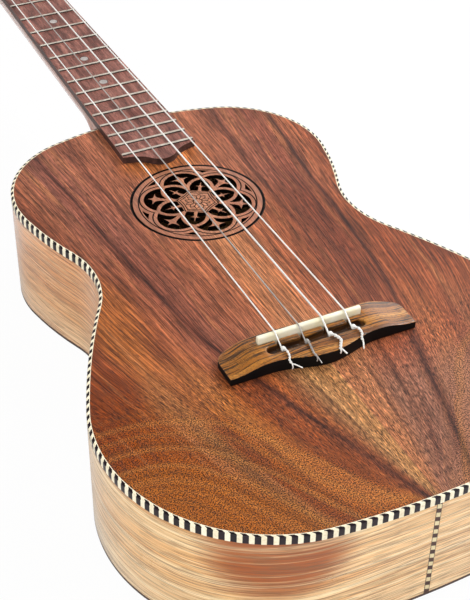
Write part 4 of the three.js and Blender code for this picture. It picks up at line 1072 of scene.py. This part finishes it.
def make_graft():
    bottom, top = plate_thickness, body_depth - binding_height
    middle = (0, (tail_end + side_thickness / 2) * MM, (bottom + top) / 2 * MM)
    select_nothing()
    bpy.ops.mesh.primitive_cube_add(size=1, location=middle,
                                    scale=(graft_width * MM, side_thickness * MM, (top - bottom) * MM))
    piece = bpy.context.object
    settle(piece, "graft_strip", 30)
    round_edges(piece, graft_round)
    fit(piece, "end_graft", "rope_inlay", graft_inlay)


# Pieces dressed over the frame's own shapes
def dress(node, slot, material, width=0.3, segments=2, smooth=sharp_angle):
    piece = copy_of_node(node)
    if width:
        round_edges(piece, width, segments)
    settle(piece, node + "_finished", smooth)
    fit(piece, node, slot, material)
    return piece


def make_bridge():
    """The bridge, with its tail and wing ends blackened."""
    piece = dress("bridge", "bridge_wood", bridge_wood, 0.45, 3)
    piece.data.materials.append(bridge_black)
    for face in piece.data.polygons:
        at_back = face.center.y < (bridge_back_inset - bridge_back) * MM
        at_side = abs(face.center.x) > bridge_side_reach * MM
        if (at_back or at_side) and face.normal.z < steep_share:
            face.material_index = 1


def make_fretboard():
    piece = dress("fretboard", "board_wood", board_wood, 0, smooth=15)
    piece.data.materials.append(board_side_shade_wood)
    piece.data.materials.append(fret_metal)
    # Fret tops take the metal; the steep sides and end take the darker wood, painted shade.
    for face in piece.data.polygons:
        if face.center.z > (board_top + fret_foot_rise) * MM:
            face.material_index = 2
        elif abs(face.normal.z) < steep_share:
            face.material_index = 1


# Strings
def string_side(number, span):
    return span * ((4 - number) / 3 - 0.5)


def string_at_saddle(number):
    return routing_aside + string_side(number, span_at_saddle)


def crown_points(number, radius):
    """The string from the trough up and over the saddle's round top."""
    x = string_at_saddle(number)
    crown_radius = saddle_thickness / 2 + radius + saddle_gap
    crown_height = body_depth + saddle_height - saddle_thickness / 2
    low = body_depth + bridge_height - trough_depth + string_start_rise
    start = (x, trough_front - trough_width + string_start_ahead, low)
    rise = math.atan2(crown_height + crown_radius * crown_aim_share - low, saddle_ahead - start[1])
    points = [start]
    for step in range(crown_steps + 1):
        angle = math.pi / 2 + rise * (1 - step / crown_steps)
        ahead = saddle_ahead + crown_radius * math.cos(angle)
        points.append((x, ahead, crown_height + crown_radius * math.sin(angle)))
    return points


head_start = Matrix.Translation((0, scale_length + nut_thickness + seat_gap, head_face))
head_frame = head_start @ Matrix.Rotation(-math.radians(head_angle), 4, "X")


def post_points(number, radius):
    """From the nut to the post, round it and through its hole, laid out in the headstock's frame."""
    side = -1 if number > 2 else 1
    place = post_places[number - 1]
    round_post = post_waist + radius + seat_gap
    centre = side * post_side
    reach = string_side(number, span_at_nut) - centre
    to_nut = math.atan2(-place, reach * -side)
    start = to_nut + math.acos(round_post / math.hypot(reach, place))
    total = 2 * math.pi * winding_turns
    lead = math.asin(min(1.0, winding_bend / round_post))
    points = []

    def add_point(spot, height):
        points.append((centre - side * spot.x, place + spot.y, height))

    for step in range(winding_steps + 1):
        angle = start + (total - lead) * step / winding_steps
        turns = (angle - start) / (2 * math.pi)
        lift = max(0.0, (turns - winding_turns + 1) * winding_lift)
        around = Vector((math.cos(angle), math.sin(angle)))
        add_point(around * round_post, winding_base + winding_pitch * turns + lift)
    top = points[-1][2]
    hole = start + total
    inward = Vector((math.cos(hole), math.sin(hole)))
    along = Vector((-inward.y, inward.x))
    for step in range(1, bend_steps + 1):
        angle = step / bend_steps * math.pi / 2
        out = round_post - winding_bend * (1 - math.cos(angle))
        add_point(inward * out - along * winding_bend * (1 - math.sin(angle)), top)
    add_point(inward * -(post_waist + end_past_post), top)
    return [tuple(head_frame @ Vector(point)) for point in points]


def tube(name, lines, radius):
    """Round cord along each line of points, as one mesh."""
    curve = bpy.data.curves.new(name, "CURVE")
    curve.dimensions = "3D"
    curve.bevel_depth = radius * MM
    curve.bevel_resolution = 3
    curve.use_fill_caps = True
    for points in lines:
        spline = curve.splines.new("POLY")
        spline.points.add(len(points) - 1)
        for knot, point in zip(spline.points, points):
            knot.co = (*(c * MM for c in point), 1)
    piece = bpy.data.objects.new(name, curve)
    bpy.context.scene.collection.objects.link(piece)
    take(piece)
    bpy.ops.object.convert(target="MESH")
    return bpy.context.object


def smooth_line(points, count):
    """Points spread on a smooth line through the given ones, count of them to each stretch."""
    padded = [points[0], *points, points[-1]]
    line = []
    for i in range(1, len(padded) - 2):
        a, b, c, d = (Vector(padded[i + k]) for k in (-1, 0, 1, 2))
        for step in range(count):
            t = step / count
            line.append(0.5 * (2 * b + (c - a) * t + (2 * a - 5 * b + 4 * c - d) * t * t
                               + (3 * b - a - 3 * c + d) * t ** 3))
    line.append(Vector(points[-1]))
    return line


def twisted_pair(route, radius):
    """Two strands wound round each other along a route."""
    line = smooth_line(route, 10)
    strands = ([], [])
    travelled = 0.0
    for i, point in enumerate(line):
        ahead = line[min(i + 1, len(line) - 1)] - line[max(i - 1, 0)]
        way = ahead.normalized()
        across = way.cross(Vector((0, 0, 1))).normalized()
        up = across.cross(way)
        if i:
            travelled += (point - line[i - 1]).length
        turn = 2 * math.pi * travelled / twist_pitch
        for strand, phase in zip(strands, (0, math.pi)):
            offset = across * math.cos(turn + phase) + up * math.sin(turn + phase)
            strand.append(tuple(point + offset * radius))
    return strands


def knot_wrap(knot):
    """The turns of the knot round the string's start."""
    wrap = []
    for step in range(knot_steps):
        turn = 2 * math.pi * step / knot_steps_per_turn
        along = (step - knot_steps / 2) * knot_step_length
        wrap.append(knot + Vector((knot_radius * math.cos(turn), along, knot_depth * math.sin(turn))))
    return wrap


def tied_tail(number, radius):
    """The knot in the trough, the twisted tail over the bridge's back and its two loose ends."""
    x = string_at_saddle(number)
    rear = trough_front - trough_width
    top = body_depth + bridge_height
    lie = top + 1.9 * radius
    back = -bridge_back - bridge_bulge
    ahead_and_height = (
        (rear + 0.9, top + 0.2), (rear - 1.6, lie + 0.3), (rear - 5, lie), (back + 2.4, lie),
        (back + 0.2, lie - 0.3))
    route = [Vector((x + sway, *spot)) for sway, spot in zip(tail_sways[number - 1], ahead_and_height)]
    end = route[-1]
    tip = tail_tips[number - 1]
    loose = [end, end + Vector((tip[0] * 0.4, tip[1] * 0.35, -0.4)), end + Vector((*tip, -1.4))]
    hidden = [end, end + Vector((0, -0.9, -1.2)), end + Vector((0, -0.6, -2.6))]
    return [*twisted_pair(route, radius * twist_share), smooth_line(loose, 6), smooth_line(hidden, 6),
            knot_wrap(route[0])]


def turn_with_post(piece):
    """Bakes the string's placement into its mesh."""
    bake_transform(piece)


def make_string(number):
    radius = string_diameters[number - 1] / 2
    nut_x = string_side(number, span_at_nut)
    nut_line = [(nut_x, scale_length + ahead, nut_floor + radius) for ahead in (0, nut_thickness / 2)]
    line = [*crown_points(number, radius), *nut_line, *post_points(number, radius)]
    main = tube("string_main", [line], radius)
    tails = tube("string_tail", tied_tail(number, radius), radius * strand_share)
    take(main, tails)
    bpy.ops.object.join()
    piece = bpy.context.object
    settle(piece, f"tied_string_{number}", 60)
    piece.data.materials.append(wound_nylon if number == 3 else nylon)
    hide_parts(f"string_{number}")
    turn_with_post(piece)


make_binding()
make_side(-1, "bass")
make_side(1, "treble")
make_soundboard()
make_back()
make_graft()
dress("rosette", "rosette_wood", rosette_wood, 0.22)
make_bridge()
make_fretboard()
dress("saddle", "bone", bone, 0.5, 3)
dress("nut", "bone", bone)
dress("neck", "neck_wood", neck_wood, 0.5)
dress("heel_cap", "edge_wood", back_edge_wood)
dress("head_veneer", "board_wood", board_wood, 0.25)
for number in range(1, 5):
    make_string(number)
    dress(f"tuner_housing_{number}", "tuner_casting", casting)
    for part in ("post", "bushing", "shaft"):
        dress(f"tuner_{part}_{number}", "tuner_metal", chrome, 0.15)
    dress(f"tuner_button_{number}", "button_plastic", button_plastic, 0.6, 3)

# Pieces that stay as the frame has them
linings = [f"lining_{plate}_{side}" for plate in ("top", "back") for side in ("bass", "treble")]
braces = (
    "soundhole_ring", "bridge_plate", "upper_brace", "lower_brace", "fan_brace_bass", "fan_brace_centre",
    "fan_brace_treble", "back_brace_upper", "back_brace_waist", "back_brace_lower",
)
for material, nodes in (
    (pearl, [f"position_dot_{fret}" for fret in (5, 7, 10, 12)]),
    (block_wood, [*linings, "neck_block", "tail_block"]),
    (brace_wood, braces),
):
    for node in nodes:
        frame["nodes"][node].material_slots[0].material = material


# Floor, light and camera, with places in metres
world_glow = 0.52
ceiling_glow = 0.1
floor_size = 12
floor_drop = 0.2
floor_glow_share = 0.96
camera_place = (-0.25145349, -0.41778903, 0.47125743)
camera_turn = (51.57125, -0.79290, -26.18575)
camera_lens = 80.34
sensor_width = 36


def make_floor():
    material, wires, shader = new_material("white_studio_floor")
    clouds = wires.noise(wires.place(), 0.004)
    base = wires.blend(clouds.mask(0.3, 0.7), "fafafa", "f6f6f6")
    finish_with(wires, shader, Base_Color=base, Roughness=0.8, Specular_IOR_Level=0.1)
    seen = wires.put("Is Camera Ray", "LightPath")
    glow = wires.put(0, "Emission", {"Color": "ffffff", "Strength": 1})
    plain = Signal(wires, shader.outputs[0])
    mixed = wires.put(0, "MixShader", {0: seen * floor_glow_share, 1: plain, 2: glow})
    wires.feed(material.node_tree.nodes["Material Output"].inputs["Surface"], mixed)
    select_nothing()
    bpy.ops.mesh.primitive_plane_add(size=floor_size, location=(0, 0, -floor_drop * MM))
    floor = bpy.context.object
    floor.name = "studio_floor"
    floor.data.materials.append(material)


def make_world():
    """Even white light, which a polished face mirrors as a white horizon under a darker ceiling."""
    world = bpy.data.worlds.new("soft_studio")
    world.use_nodes = True
    bpy.context.scene.world = world
    wires = Wiring(world.node_tree)
    back = world.node_tree.nodes["Background"]
    path = wires.signals(wires.add("LightPath"))
    _, _, height = wires.split(wires.put("Generated", "TexCoord"))
    level = path["Is Glossy Ray"].mask(0, 1, world_glow, height.mask(0.38, 0.6, 1, ceiling_glow))
    seen = wires.most(path["Is Camera Ray"], path["Is Transmission Ray"])
    wires.feed(back.inputs["Color"], "ffffff")
    wires.feed(back.inputs["Strength"], seen.mask(0, 1, level, 1))


def make_lamp(name, place, aim, size, power):
    light = bpy.data.lights.new(name, "AREA")
    light.shape = "RECTANGLE"
    light.size, light.size_y = size
    light.energy = power
    lamp = bpy.data.objects.new(name, light)
    bpy.context.scene.collection.objects.link(lamp)
    lamp.location = place
    lamp.rotation_euler = (Vector(aim) - Vector(place)).to_track_quat("-Z", "Y").to_euler()


def make_camera():
    data = bpy.data.cameras.new("viewpoint")
    data.lens = camera_lens
    data.sensor_width = sensor_width
    data.sensor_fit = "AUTO"
    camera = bpy.data.objects.new("viewpoint", data)
    bpy.context.scene.collection.objects.link(camera)
    camera.location = camera_place
    camera.rotation_euler = [math.radians(angle) for angle in camera_turn]
    bpy.context.scene.camera = camera


make_floor()
make_world()
make_lamp("key_from_treble_side", (1.2, 0.2, 1.08), (0, 0.05, 0.05), (0.7, 0.7), 21)
make_lamp("fill_from_tail", (-0.9, -0.9, 0.9), (0, 0.05, 0.03), (1.2, 1.2), 11)
make_lamp("window_from_treble_shoulder", (1.14, 1.27, 0.89), (0, 0.05, 0.06), (0.5, 0.7), 1.6)
make_camera()
bpy.context.scene.view_settings.view_transform = "Standard"
